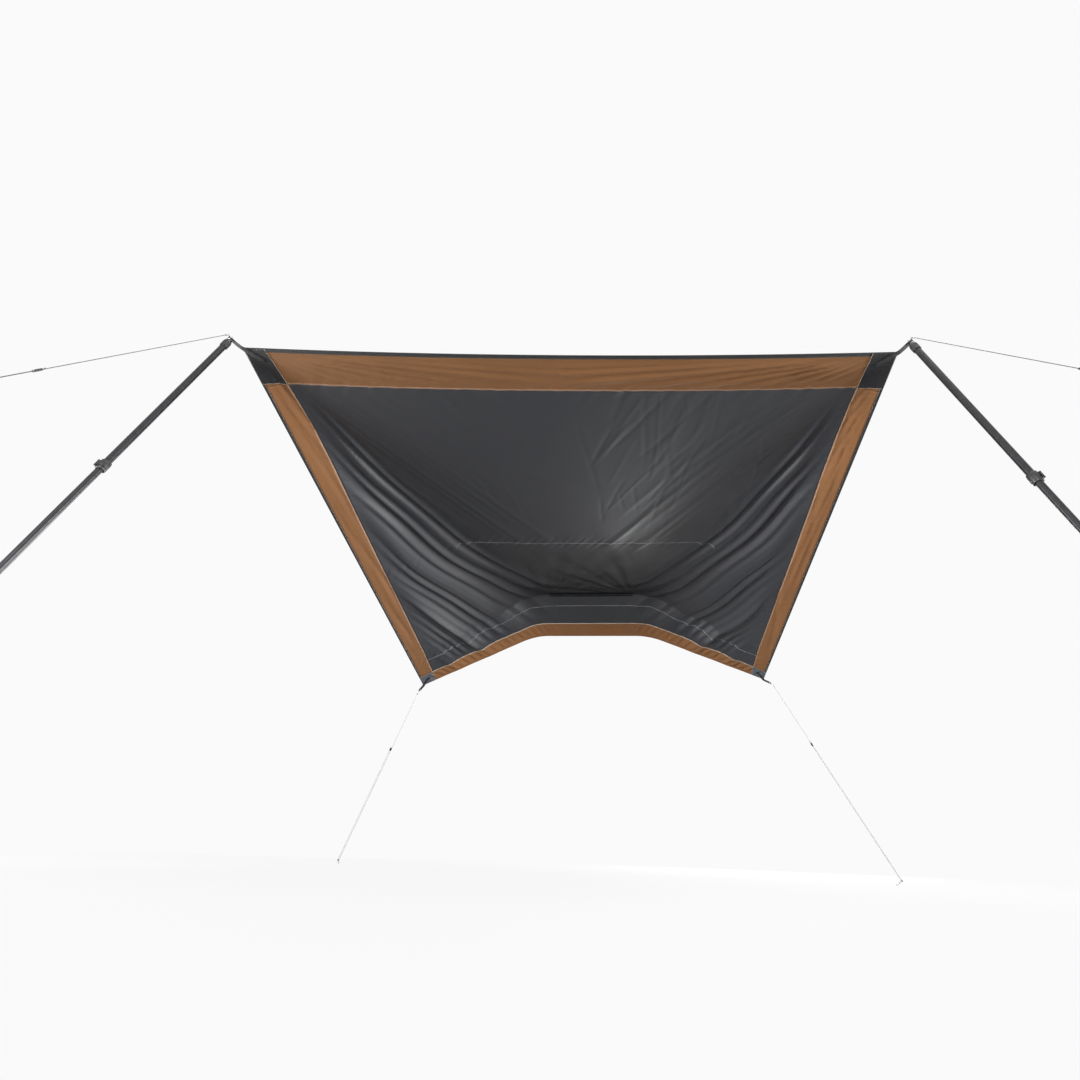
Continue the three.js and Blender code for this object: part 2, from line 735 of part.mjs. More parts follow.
function addPole(side) {
  const frame = tabFrame(side, "front");
  const up = poleUp(side);
  const eyelet = vec(0, 0, 0).applyMatrix4(frame);
  const length = (eyelet.z - GROUND) / up.z;
  const pole = new THREE.Group();
  const x = vec(0, 0, 0).setFromMatrixColumn(frame, 0);
  pole.applyMatrix4(frameOf(x, up, x.clone().cross(up), eyelet));
  awning.add(pole);
  const name = (piece) => `pole_${SIDE_NAME[side]}_${piece}`;
  const upperTop = -HEAD_PLUG_DOWN - GAP;
  const upperEnd = upperTop - SECTION_LENGTH;
  const middleTop = upperEnd + MIDDLE_OVERLAP;
  const middleEnd = middleTop - SECTION_LENGTH;
  const lowerEnd = FOOT_FLOOR + GAP - length;
  const lowerTop = lowerEnd + SECTION_LENGTH;
  addPiece(pole, name("head"), headShape(), "plastic");
  addPiece(pole, name("upper_tube"),
    tube(UPPER_R - TUBE_WALL, UPPER_R, upperEnd, upperTop, POLE_SIDES), "tube");
  addPiece(pole, name("middle_tube"),
    tube(MIDDLE_R - TUBE_WALL, MIDDLE_R, middleEnd, middleTop, POLE_SIDES), "tube");
  addPiece(pole, name("lower_tube"),
    tube(LOWER_R - TUBE_WALL, LOWER_R, lowerEnd, lowerTop, POLE_SIDES), "tube");
  addPiece(pole, name("foot"), footShape(length), "rubber");
  const joints = [
    ["upper", UPPER_R, MIDDLE_R, upperEnd - GAP],
    ["lower", MIDDLE_R, LOWER_R, middleEnd - GAP],
  ];
  for (const [place, outerTube, innerTube, y] of joints) {
    const collar = addPiece(pole, name(`${place}_collar`), collarShape(outerTube, innerTube),
      "plastic");
    collar.position.y = y;
    const lever = addPiece(pole, name(`${place}_lever`), leverShape(outerTube + COLLAR_WALL),
      "plastic");
    lever.position.y = y;
  }
}

// Guylines. In a guyline's own frame x runs from the hook down to the peg and y is level.

function lineFrame(side, end) {
  const frame = tabFrame(side, end);
  const axis = vec(0, 0, 0).setFromMatrixColumn(frame, 2);
  const eyelet = vec(0, 0, 0).applyMatrix4(frame);
  const peg = pegPoint(side, end);
  const pull = peg.clone().sub(eyelet);
  const out = along(pull, axis, -pull.dot(axis)).normalize();
  const lip = TAB / 2 + GAP + EYELET_LIP;
  const seat = lip + GAP + HOOK_WIRE_R;
  const hang = EYELET_BORE - GAP + Math.sqrt((HOOK_EYE_R - HOOK_WIRE_R) ** 2 - lip ** 2);
  const eye = end === "front" ? along(eyelet, axis, seat) : along(eyelet, out, hang);
  const start = along(eye, out, HOOK_EYE_R + HOOK_SHANK);
  const x = peg.clone().sub(start).normalize();
  const y = vec(0, 0, 1).cross(x).normalize();
  const z = x.clone().cross(y);
  const eyeNormal = end === "front" ? axis : axis.clone().cross(out);
  const length = peg.distanceTo(start);
  return { eye, out, eyeNormal, start, x, y, z, length };
}

// A wire eye and shank that end in a ferrule, in which the cord is held
function hookShape(line) {
  const eye = new THREE.TorusGeometry(HOOK_EYE_R, HOOK_WIRE_R, HOOK_WIRE_SIDES, HOOK_ROUND);
  eye.applyMatrix4(frameOf(line.out, line.eyeNormal.clone().cross(line.out), line.eyeNormal,
    line.eye));
  const bend = new THREE.CatmullRomCurve3([
    along(line.eye, line.out, HOOK_EYE_R),
    line.start,
    along(line.start, line.x, FERRULE_BEND),
  ]);
  const wire = new THREE.Shape().absarc(0, 0, HOOK_WIRE_R, 0, Math.PI * 2);
  const shank = new THREE.ExtrudeGeometry(wire, {
    steps: HOOK_WIRE_SIDES,
    extrudePath: bend,
    curveSegments: HOOK_WIRE_SIDES / 2,
    bevelEnabled: false,
  });
  const boreR = CORD_R + FERRULE_BORE_GAP;
  const boreEnd = FERRULE_LENGTH - FERRULE_BORE_DEPTH;
  const ferrule = lathe([
    [0, 0],
    [FERRULE_R, 0],
    [FERRULE_R, FERRULE_LENGTH],
    [boreR, FERRULE_LENGTH],
    [boreR, boreEnd],
    [0, boreEnd],
  ], PEG_SIDES);
  ferrule.applyMatrix4(frameOf(line.z, line.x, line.y, line.start));
  return joined(eye, shank, ferrule);
}

// The cord runs down through the runner, round the peg and back up through the runner
const turnR = PEG_R + PEG_CLEAR + CORD_R;

function cordShape(length) {
  const tailX = length * runnerShare - RUNNER_LENGTH / 2 - CORD_TAIL;
  const turns = steps(-Math.PI / 2, Math.PI / 2, TURN_STEPS);
  const stations = [
    { x: FERRULE_LENGTH - FERRULE_BORE_DEPTH + GAP, y: 0, turn: turns[0] },
    ...turns.map((turn) => ({
      x: length + turnR * Math.cos(turn),
      y: turnR + turnR * Math.sin(turn),
      turn,
    })),
    { x: tailX, y: turnR * 2, turn: turns[TURN_STEPS] },
  ];
  const points = [];
  for (const { x, y, turn } of stations) {
    for (const round of steps(0, Math.PI * 2, CORD_SIDES).slice(1)) {
      const out = CORD_R * Math.cos(round);
      points.push(vec(x + out * Math.cos(turn), y + out * Math.sin(turn),
        CORD_R * Math.sin(round)));
    }
  }
  const faces = [];
  for (let k = 0; k + 1 < stations.length; k++) {
    for (let i = 0; i < CORD_SIDES; i++) {
      const near = k * CORD_SIDES;
      const next = (i + 1) % CORD_SIDES;
      faces.push(near + i, near + next, near + CORD_SIDES + next);
      faces.push(near + i, near + CORD_SIDES + next, near + CORD_SIDES + i);
    }
  }
  const last = (stations.length - 1) * CORD_SIDES;
  for (let i = 1; i + 1 < CORD_SIDES; i++) {
    faces.push(0, i + 1, i);
    faces.push(last, last + i, last + i + 1);
  }
  if (signedVolume(points, faces) < 0) faces.reverse();
  const geometry = new THREE.BufferGeometry();
  geometry.setFromPoints(points);
  geometry.setIndex(faces);
  return geometry;
}

// A flat slider with two cord holes, extruded along the line
function runnerShape() {
  const halfThick = RUNNER_THICK / 2;
  const body = new THREE.Shape();
  body.absarc(0, 0, RUNNER_RIM, Math.PI / 2, Math.PI * 1.5);
  body.absarc(turnR * 2, 0, RUNNER_RIM, -Math.PI / 2, Math.PI / 2);
  for (const y of [0, turnR * 2]) {
    const hole = new THREE.Path();
    hole.absarc(y, 0, CORD_R + RUNNER_BORE_GAP, 0, Math.PI * 2, true);
    body.holes.push(hole);
  }
  const depth = { depth: RUNNER_LENGTH, curveSegments: ARC_POINTS, bevelEnabled: false };
  const runner = new THREE.ExtrudeGeometry(body, depth);
  runner.scale(1, halfThick / RUNNER_RIM, 1);
  runner.translate(0, 0, -RUNNER_LENGTH / 2);
  return runner;
}

// In a peg's own frame +Y is up along it and y = 0 is the level of the cord
function pegShape() {
  const neck = PEG_NECK / 2;
  const end = -PEG_LENGTH;
  return lathe([
    [0, end],
    [PEG_R, end + PEG_POINT],
    [PEG_R, -neck - PEG_COLLAR],
    [PEG_COLLAR_R, -neck - PEG_COLLAR],
    [PEG_COLLAR_R, -neck],
    [PEG_R, -neck],
    [PEG_R, neck],
    [PEG_HEAD_R, neck],
    [PEG_HEAD_R, neck + PEG_HEAD],
    [0, neck + PEG_HEAD],
  ], PEG_SIDES);
}

function addGuyline(side, end) {
  const line = lineFrame(side, end);
  const name = `${end}_${SIDE_NAME[side]}`;
  const runnerAt = along(line.start, line.x, line.length * runnerShare);
  const pegAt = along(along(line.start, line.x, line.length), line.y, turnR);
  addPiece(awning, `guyline_hook_${name}`, hookShape(line), "steel");
  addPiece(awning, `guyline_cord_${name}`, cordShape(line.length), "cord")
    .applyMatrix4(frameOf(line.x, line.y, line.z, line.start));
  addPiece(awning, `guyline_runner_${name}`, runnerShape(), "plastic")
    .applyMatrix4(frameOf(line.y, line.z, line.x, runnerAt));
  addPiece(awning, `ground_peg_${name}`, pegShape(), "steel")
    .applyMatrix4(frameOf(line.y, line.z, line.x, pegAt));
}

// Rail with its keder

// Points on a circle round the keder, from one turn to another, in the rail's cross-section
function kederArc(radius, from, to) {
  return steps(from, to, ARC_POINTS * 2).map((turn) =>
    new THREE.Vector2(radius * Math.cos(turn), KEDER_HEIGHT + radius * Math.sin(turn)));
}

// Stretch a cross-section, drawn with Y across and Z up, along X about the middle
function alongRail(outline, length) {
  const body = new THREE.ExtrudeGeometry(new THREE.Shape(outline), {
    depth: length,
    bevelEnabled: false,
  });
  body.translate(0, 0, -length / 2);
  return body.applyMatrix4(frameOf(vec(0, 1, 0), vec(0, 0, 1), vec(1, 0, 0), vec(0, 0, 0)));
}

function addRail() {
  const slotHalf = KEDER_SLOT / 2;
  const foot = Math.asin((KEDER_HEIGHT - RAIL_FLANGE) / KEDER_TUBE_R);
  const outerLip = Math.acos(slotHalf / KEDER_TUBE_R);
  const innerLip = Math.acos(slotHalf / KEDER_BORE_R);
  const outline = [
    new THREE.Vector2(-RAIL_FLANGE_FRONT, 0),
    new THREE.Vector2(RAIL_FLANGE_BACK, 0),
    new THREE.Vector2(RAIL_FLANGE_BACK, RAIL_FLANGE),
    ...kederArc(KEDER_TUBE_R, -foot, outerLip),
    ...kederArc(KEDER_BORE_R, innerLip, -Math.PI - innerLip),
    ...kederArc(KEDER_TUBE_R, Math.PI - outerLip, Math.PI + foot),
    new THREE.Vector2(-RAIL_FLANGE_FRONT, RAIL_FLANGE),
  ];
  const holes = steps(1 - SCREW_HOLES, SCREW_HOLES - 1, SCREW_HOLES - 1).map((place) => {
    const hole = new THREE.CylinderGeometry(SCREW_HOLE_R, SCREW_HOLE_R,
      RAIL_FLANGE + OVERRUN * 2, PEG_SIDES);
    hole.rotateX(Math.PI / 2);
    return hole.translate((place * SCREW_PITCH) / 2, -SCREW_HOLE_FRONT, RAIL_FLANGE / 2);
  });
  addPiece(awning, "rail", cutBy(alongRail(outline, RAIL_LENGTH), ...holes), "rail");
  const tailHalf = KEDER_TAIL / 2;
  const tailFoot = Math.acos(tailHalf / KEDER_BEAD_R);
  const bead = [
    ...kederArc(KEDER_BEAD_R, tailFoot, -Math.PI - tailFoot),
    new THREE.Vector2(-tailHalf, KEDER_TAIL_TOP),
    new THREE.Vector2(tailHalf, KEDER_TAIL_TOP),
  ].reverse();
  const beadLength = RAIL_LENGTH - (RAIL_CAP_PLUG + GAP) * 2;
  addPiece(awning, "keder_bead", alongRail(bead, beadLength), "webbing");
  for (const side of BOTH) {
    const cap = lathe([
      [0, -RAIL_CAP_PLUG],
      [KEDER_BORE_R - GAP, -RAIL_CAP_PLUG],
      [KEDER_BORE_R - GAP, GAP],
      [KEDER_TUBE_R + RAIL_CAP_LIP, GAP],
      [KEDER_TUBE_R + RAIL_CAP_LIP, GAP + RAIL_CAP],
      [0, GAP + RAIL_CAP],
    ], POLE_SIDES);
    cap.rotateZ((-side * Math.PI) / 2);
    cap.translate((side * RAIL_LENGTH) / 2, 0, KEDER_HEIGHT);
    addPiece(awning, `rail_cap_${SIDE_NAME[side]}`, cap, "plastic");
  }
}

addRail();
addRoof();
for (const side of BOTH) {
  for (const end of ["front", "rear"]) {
    addPatch(side, end);
    addTab(side, end);
    addGuyline(side, end);
  }
  addPole(side);
}

export default awning;
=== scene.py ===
"""Looks of a cloth awning on a keder rail, with two telescopic poles and four guylines.

All lengths are in metres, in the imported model's own frame: +X along the rail, -Y out to the
open front, +Z up. A place on the cloth as cut is (a, b): a across from its middle line, b back
from the front edge.
"""

import logging
import math
from collections.abc import Callable, Sequence
from dataclasses import dataclass, replace
from enum import Enum

import bmesh
import bpy
import numpy as np
from mathutils import Matrix, Vector


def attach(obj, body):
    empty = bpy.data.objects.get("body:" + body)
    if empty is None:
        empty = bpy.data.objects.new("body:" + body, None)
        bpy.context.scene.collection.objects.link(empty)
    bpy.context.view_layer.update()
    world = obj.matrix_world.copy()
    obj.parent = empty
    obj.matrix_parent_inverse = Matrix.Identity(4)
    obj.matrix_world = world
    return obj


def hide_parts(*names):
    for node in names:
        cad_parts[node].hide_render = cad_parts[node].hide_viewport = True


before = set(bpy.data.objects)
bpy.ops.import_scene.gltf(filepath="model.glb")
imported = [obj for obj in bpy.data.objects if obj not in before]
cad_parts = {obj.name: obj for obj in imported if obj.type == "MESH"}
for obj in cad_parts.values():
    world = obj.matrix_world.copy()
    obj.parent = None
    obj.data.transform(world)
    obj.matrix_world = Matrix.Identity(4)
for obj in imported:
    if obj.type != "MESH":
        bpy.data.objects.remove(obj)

log = logging.getLogger("awning")

ROOT_BODY = "awning"
SEED = 7

Span = tuple[float, float]
Colour = tuple[float, float, float]
Profile = Sequence[tuple[float, float]]
Array = np.ndarray
Piece = bpy.types.Object
Node = bpy.types.Node
Socket = bpy.types.NodeSocket


class Side(Enum):
    """The two sides of the awning, seen from its open front."""

    LEFT = -1
    RIGHT = 1

    @property
    def label(self) -> str:
        """The side's word in the names of pieces."""
        return self.name.lower()


class End(Enum):
    """The two ends of the awning."""

    FRONT = "front"
    REAR = "rear"


# Numbers


def smooth(low: float, high: float, value: Array) -> Array:
    """A smooth step from 0 to 1.

    Args:
        low: Where the step starts.
        high: Where the step ends.
        value: The values that are stepped.

    Returns:
        An array of shares from 0 to 1.
    """
    share = np.clip((value - low) / (high - low), 0, 1)
    return share * share * (3 - 2 * share)


def unit(vectors: Array) -> Array:
    """Vectors along the last axis, scaled to length one."""
    return vectors / np.maximum(np.linalg.norm(vectors, axis=-1, keepdims=True), 1e-12)


def surface_normal(point: Callable, a: Array, b: Array, step: float) -> Array:
    """Upward unit normals of a surface over the cut, from its points a step away."""
    across = point(a + step, b) - point(a - step, b)
    along = point(a, b + step) - point(a, np.maximum(b - step, 0))
    return unit(np.cross(across, along))


def run_lengths(path: Array) -> Array:
    """The distance along a path from its start to each of its points."""
    return np.concatenate([[0], np.cumsum(np.linalg.norm(np.diff(path, axis=0), axis=1))])


def resampled(values: Array, count: int) -> Array:
    """Rows of values, smoothly spaced again along their own order."""
    old = np.arange(len(values))
    new = np.linspace(0, len(values) - 1, count)
    return np.stack([np.interp(new, old, values[:, k]) for k in range(values.shape[1])], axis=1)


def mirrored(half: Profile) -> list:
    """One half of a profile and then the other, which is the same with its height turned over."""
    return [*half, *((radius, -height) for radius, height in reversed(half))]


# The pitched cloth


@dataclass(frozen=True)
class Crease:
    """A fold that follows one level of a field: where it lies, how wide and how deep it is."""

    level: float
    width: float
    depth: float
    start: float = 0.0
    end: float = 9.0

    def depth_at(self, off: Array) -> Array:
        """How deep it is at distances from its line, counted in widths."""
        return self.depth * np.exp(-np.abs(off) ** 1.5)

    def along(self, place: Array, rise: float, fall: float = 0.5) -> Array:
        """One between its start and its end, with a soft rise and fall."""
        begun = smooth(self.start, self.start + rise, place)
        return begun * (1 - smooth(self.end - fall, self.end, place))


@dataclass(frozen=True)
class Ray:
    """A short crease in its own place: middle, direction, half length, thickness and height."""

    a: float
    b: float
    turn: float
    half: float
    thick: float
    depth: float


@dataclass(frozen=True)
class PitchedCloth:
    """The shape of the cloth as pitched, and its finer folds and creases."""

    half_width: float = 1.93
    length: float = 3.87
    front_band: float = 0.28
    side_band: float = 0.14
    rear_band: float = 0.15
    webbing: float = 0.028
    binding: float = 0.014
    cross_seam: float = 2.2
    ridge_line: float = 3.39
    ridge_height: float = 0.022
    keder_inset: float = 0.13
    front_reach: float = 3.385
    front_rise: float = 0.096
    front_skew: Span = (0.08, -0.048)
    rear_half_width: float = 1.82
    rear_reach: float = 0.305
    rear_drop: float = 0.893
    rear_skew: Span = (0.057, 0.060)
    hind_reach: float = 0.31
    hind_drop: float = 0.37
    ridge_fold: float = 0.63
    fold_bend: float = 1.28
    fold_round: float = 0.15
    front_sag: float = 0.045
    roof_sag: float = 0.030
    field_across: float = 0.2
    field_ahead: float = 3.9
    field_power: float = 1.7
    field_back: float = 1.6
    pleat_depth: float = 0.026
    first_fold: float = 1.25
    fold_step: float = 0.12
    fold_levels: Span = (1.165, 1.225)
    fold_sides: Span = (0.49, 0.7)
    fold_corner: Span = (0.25, 1.1)
    fold_share: Span = (0.62, 1.0)
    fold_rear: float = 0.37
    gather: Span = (0.1, 0.25)
    gather_turn: float = math.radians(60)
    sway: float = 0.0045
    sway_turn: float = 5.3
    star_ends: tuple[Span, ...] = ((0.44, 0.8), (-0.46, 0.5))
    star_depth: float = 0.0052
    pucker_reach: float = 0.08
    gusset_depth: float = 0.0052
    edge_calm: float = 0.1
    rear_calm: float = 0.06
    rail_calm: float = 0.06
    rail_sides: Span = (0.47, 0.56)
    normal_step: float = 0.006
    flap_creases: tuple[Crease, ...] = ()
    corner_creases: tuple[Crease, ...] = ()
    band_creases: tuple[Crease, ...] = ()
    rays: tuple[Ray, ...] = ()

    @property
    def band_inner(self) -> float:
        """Distance from the middle line to the side bands' inner seams."""
        return self.half_width - self.side_band

    @property
    def rear_seam(self) -> float:
        """Distance from the front edge to the rear band's seam."""
        return self.length - self.rear_band

    @property
    def keder_seam(self) -> float:
        """Distance from the front edge to the row of stitches that holds the keder."""
        return self.ridge_line + self.keder_inset

    @property
    def plain_half(self) -> float:
        """Distance from the middle line to the flaps' folds, along the cross seam."""
        return float(self.fold_at(np.array(self.cross_seam)))

    def fold_at(self, b: Array) -> Array:
        """Distance from the middle line to the fold between roof and flap."""
        ridge_share = self.ridge_fold / self.half_width
        spread = np.clip(b / self.ridge_line, 0, 1) ** self.fold_bend
        return self.half_width * (1 - (1 - ridge_share) * spread)

    def roof(self, a: Array, b: Array) -> Array:
        """Points of the roof plane, with its sags and the drop behind the ridge."""
        share = a / self.half_width
        back = np.clip((b - self.ridge_line) / (self.length - self.ridge_line), 0, None)
        front = np.clip(1 - b / self.ridge_line, 0, None)
        middle = 1 - share * share
        sag = middle * (front * self.front_sag + np.sin(np.pi * front) * self.roof_sag)
        y = -front * (self.front_reach - share * self.front_skew[0]) + back * self.hind_reach
        rise = front * (self.front_rise + share * self.front_skew[1])
        z = self.ridge_height + rise - sag - back * self.hind_drop
        return np.stack([a, y, z], axis=-1)

    def side_edge(self, side: Array, b: Array) -> Array:
        """Points of the side edges, which run straight from front corner to rear corner."""
        front = self.roof(side * self.half_width, np.zeros_like(b))
        rear = np.stack([
            side * self.rear_half_width,
            self.rear_reach + side * self.rear_skew[0],
            self.ridge_height - self.rear_drop + side * self.rear_skew[1],
        ], axis=-1)
        return front + (rear - front) * (b / self.length)[..., None]

    def past_fold(self, distance: Array) -> Array:
        """Zero before the fold and a straight slope after it, with a round turn between."""
        turn = np.clip(distance + self.fold_round, 0, None) ** 2 / (self.fold_round * 4)
        return np.where(distance >= self.fold_round, distance, turn)

    def plain(self, a: Array, b: Array) -> tuple[Array, Array]:
        """The cloth without its folds.

        Returns:
            The points, and the share of the way across the flap.
        """
        side = np.where(a < 0, -1.0, 1.0)
        fold = self.fold_at(b)
        width = self.half_width - fold
        share = self.past_fold(np.abs(a) - fold) / self.past_fold(width)
        point = self.roof(side * (np.abs(a) - share * width), b)
        slope = self.side_edge(side, b) - self.roof(side * fold, b)
        return point + slope * share[..., None], share

    def fold_field(self, a: Array, b: Array) -> Array:
        """A field whose levels the flaps' folds follow. It rises outwards and backwards."""
        across = np.abs(np.abs(a) - self.field_across) / (self.half_width - self.field_across)
        back = np.clip(b + self.field_ahead, 0, None) / (self.length + self.field_ahead)
        total = across ** self.field_power + self.field_back * back ** self.field_power
        return total ** (1 / self.field_power)

    def fold_turn(self, level: Array) -> Array:
        """The angle of the main folds' wave at levels of the field."""
        return (level - self.first_fold) / self.fold_step * 2 * np.pi

    def main_mask(self, a: Array, b: Array, share: Array) -> Array:
        """How far the flaps' main folds are raised at each place, from 0 to 1."""
        inner = smooth(*self.fold_levels, self.fold_field(a, b))
        inner = inner * smooth(*self.fold_sides, np.abs(a))
        corner = smooth(*self.fold_corner, np.hypot(self.half_width - np.abs(a), b))
        rear = 1 - 0.75 * smooth(self.length - self.fold_rear, self.length, b)
        return inner * (1 - smooth(*self.fold_share, share)) * corner * rear

    def main_folds(self, a: Array, b: Array, share: Array) -> Array:
        """Height of the main folds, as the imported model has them."""
        turn = self.fold_turn(self.fold_field(a, b))
        return -self.pleat_depth * np.cos(turn) * self.main_mask(a, b, share)

    def relief(self, a: Array, b: Array, share: Array) -> Array:
        """Height of all folds, puckers and creases over the plain cloth."""
        height = self.flap_relief(a, b, share) - self.corner_depth(a, b) - self.band_depth(a, b)
        return height + self.star(a, b) + self.pucker(a, b) + self.crease(a, b)

    def gathered(self, a: Array, b: Array) -> tuple[Array, Array]:
        """Distances inwards and backwards from the place where a corner's folds gather."""
        return self.half_width - np.abs(a) - self.gather[0], b - self.gather[1]

    def flap_relief(self, a: Array, b: Array, share: Array) -> Array:
        """Height of the flaps' main folds and of the sharper creases among them."""
        level = self.fold_field(a, b)
        level = level + self.sway * np.sin(b * self.sway_turn + np.sign(a)) * smooth(0.5, 1.5, b)
        turn = self.fold_turn(level)
        crest = -np.cos(turn) - 0.28 * np.cos(2 * turn + 0.4) - 0.12 * np.cos(3 * turn)
        from_edge = self.half_width - np.abs(a)
        hind = smooth(3.0, 3.45, b) * (1 - smooth(0.8, 1.3, np.abs(a)))
        height = 0.85 * self.pleat_depth * crest * self.main_mask(a, b, share)
        height *= smooth(self.side_band - 0.02, self.side_band + 0.2, from_edge)
        height *= 1 - 0.6 * hind
        reach = np.hypot(*self.gathered(a, b))
        near = smooth(0.05, 0.5, reach) * smooth(0.36, 0.6, np.abs(a))
        outer = smooth(self.side_band - 0.02, self.side_band + 0.24, from_edge)
        behind = 1 - 0.9 * smooth(self.rear_seam - 0.12, self.rear_seam, b)
        shown = near * outer * behind * (1 - 0.7 * hind)
        narrower = 0.35 + 0.65 * smooth(0, 1.4, reach)
        for crease in self.flap_creases:
            off = (level - crease.level) / (crease.width * narrower)
            height -= crease.depth_at(off) * shown * crease.along(b, 0.5)
        return height

    def corner_depth(self, a: Array, b: Array) -> Array:
        """Depth of the creases that run back and inwards from each front corner."""
        inwards, backwards = self.gathered(a, b)
        reach, turn = np.hypot(inwards, backwards), np.arctan2(backwards, inwards)
        lane = np.degrees(turn - self.gather_turn) * (reach + 0.35)
        return sum(crease.depth_at((lane - crease.level) / crease.width)
                   * crease.along(reach, 0.3, 0.7) for crease in self.corner_creases)

    def band_depth(self, a: Array, b: Array) -> Array:
        """Depth of the creases that fan out from each front corner in the two bands."""
        from_edge = self.half_width - np.abs(a)
        reach, turn = np.hypot(from_edge, b), np.degrees(np.arctan2(b, from_edge))
        in_roof = (smooth(self.front_band - 0.08, self.front_band + 0.04, b)
                   * smooth(self.side_band - 0.08, self.side_band + 0.04, from_edge))
        depth = sum(crease.depth_at((turn - crease.level) / crease.width)
                    * crease.along(reach, 0.25) for crease in self.band_creases)
        return depth * (1 - in_roof) * (1 + 0.25 * np.sign(a))

    def star(self, a: Array, b: Array) -> Array:
        """Fine folds that fan forward over the roof from each end of the ridge."""
        height = np.zeros_like(a)
        for centre, strength in self.star_ends:
            across, forward = a - centre, self.ridge_line + 0.06 - b
            turn, reach = np.arctan2(across, forward), np.hypot(across, forward)
            wave = np.sin(turn * 17 + 2.2 * np.sin(reach * 2.3 + centre * 9))
            wave += 0.7 * np.sin(turn * 29 + reach * 2.0)
            fade = smooth(0.06, 0.35, reach) * (1 - smooth(0.7, 1.9, reach))
            inward = smooth(-0.5, 0.1, -across * np.sign(centre))
            height += strength * self.star_depth * wave * fade * inward * smooth(0, 0.12, forward)
        return height

    @staticmethod
    def ripple(turn: Array, run: Array) -> Array:
        """An uneven wave: its angle is turn, and run sways it."""
        return np.sin(turn + 1.7 * np.sin(run * 2.9)) + 0.5 * np.sin(turn * 1.65 + 1.3)

    def pucker(self, a: Array, b: Array) -> Array:
        """Small ripples across each seam, which die out within a hand's width."""
        side = np.abs(a)
        height = np.zeros_like(a)
        seams = (
            (side - self.band_inner, b, 0.085, 0.0008),
            (b - self.front_band, a, 0.13, 0.0010),
            (b - self.cross_seam, a, 0.09, 0.0010),
            (b - self.keder_seam, a, 0.08, 0.0011),
        )
        for off, run, pitch, depth in seams:
            wave = self.ripple((run + off * 0.7) / pitch * 2 * np.pi, run)
            height += depth * wave * np.exp(-((off / self.pucker_reach) ** 2))
        share = np.clip((b - self.rear_seam) / self.rear_band, 0, 1)
        wave = self.ripple((a + np.sign(a) * share * 0.1) / 0.075 * 2 * np.pi, a)
        return height + self.gusset_depth * wave * np.sin(np.pi * share) * smooth(0.35, 0.6, side)

    def crease(self, a: Array, b: Array) -> Array:
        """Long thin creases in their own places."""
        height = np.zeros_like(a)
        for ray in self.rays:
            da, db = a - ray.a, b - ray.b
            run = da * math.cos(ray.turn) + db * math.sin(ray.turn)
            off = -da * math.sin(ray.turn) + db * math.cos(ray.turn)
            off = off + 0.015 * np.sin(run * 5)
            height += ray.depth * np.exp(-((off / ray.thick) ** 2) - (run / ray.half) ** 4)
        at_ridge = smooth(1.3, 2.1, b) * (1 - smooth(0.9, 1.3, np.abs(a)))
        return height * (1 - 0.8 * at_ridge)

    def point(self, a: Array, b: Array) -> Array:
        """Points of the cloth with all its folds."""
        point, share = self.plain(a, b)
        calm = smooth(0, self.edge_calm, self.half_width - np.abs(a)) * smooth(0, self.edge_calm, b)
        calm = calm * (0.3 + 0.7 * smooth(0, self.rear_calm, self.length - b))
        on_rail = np.exp(-(((b - self.ridge_line) / self.rail_calm) ** 2))
        on_rail = on_rail * (1 - smooth(*self.rail_sides, np.abs(a)))
        point[..., 2] += self.relief(a, b, share) * calm * (1 - on_rail)
        return point

    def normal(self, a: Array, b: Array) -> Array:
        """Upward unit normals of the cloth."""
        return surface_normal(self.point, a, b, self.normal_step)

    def lifted(self, a: Array, b: Array, lift: float) -> Array:
        """Points at a height over the cloth's middle surface, below it where lift is negative."""
        return self.point(a, b) + self.normal(a, b) * lift


FLAP_CREASES = tuple(Crease(*row) for row in (
    (1.205, 0.0110, 0.036), (1.238, 0.007, 0.016), (1.286, 0.0105, 0.044), (1.330, 0.009, 0.034),
    (1.352, 0.005, 0.010, 1.2), (1.385, 0.007, 0.016, 0.9), (1.412, 0.010, 0.034),
    (1.447, 0.006, 0.018, 1.4), (1.470, 0.005, 0.012, 1.8), (1.492, 0.0085, 0.030, 1.6),
    (1.515, 0.005, 0.015, 2.2), (1.537, 0.0075, 0.024, 2.0), (1.562, 0.006, 0.018, 2.4),
    (1.585, 0.006, 0.015, 2.8),
))
CORNER_CREASES = tuple(Crease(*row) for row in (
    (-4, 1.6, 0.0040, 0.3, 2.6), (-9, 2.4, 0.0070, 0.2, 2.8), (-14, 1.7, 0.0032, 0.3, 2.2),
    (-19, 2.6, 0.0050, 0.3, 2.4), (-25, 2.2, 0.0060, 0.2, 2.9), (-31, 2.0, 0.0032, 0.4, 2.0),
    (-37, 2.6, 0.0036, 0.4, 2.3), (9, 1.6, 0.0040, 0.2, 1.9),
))
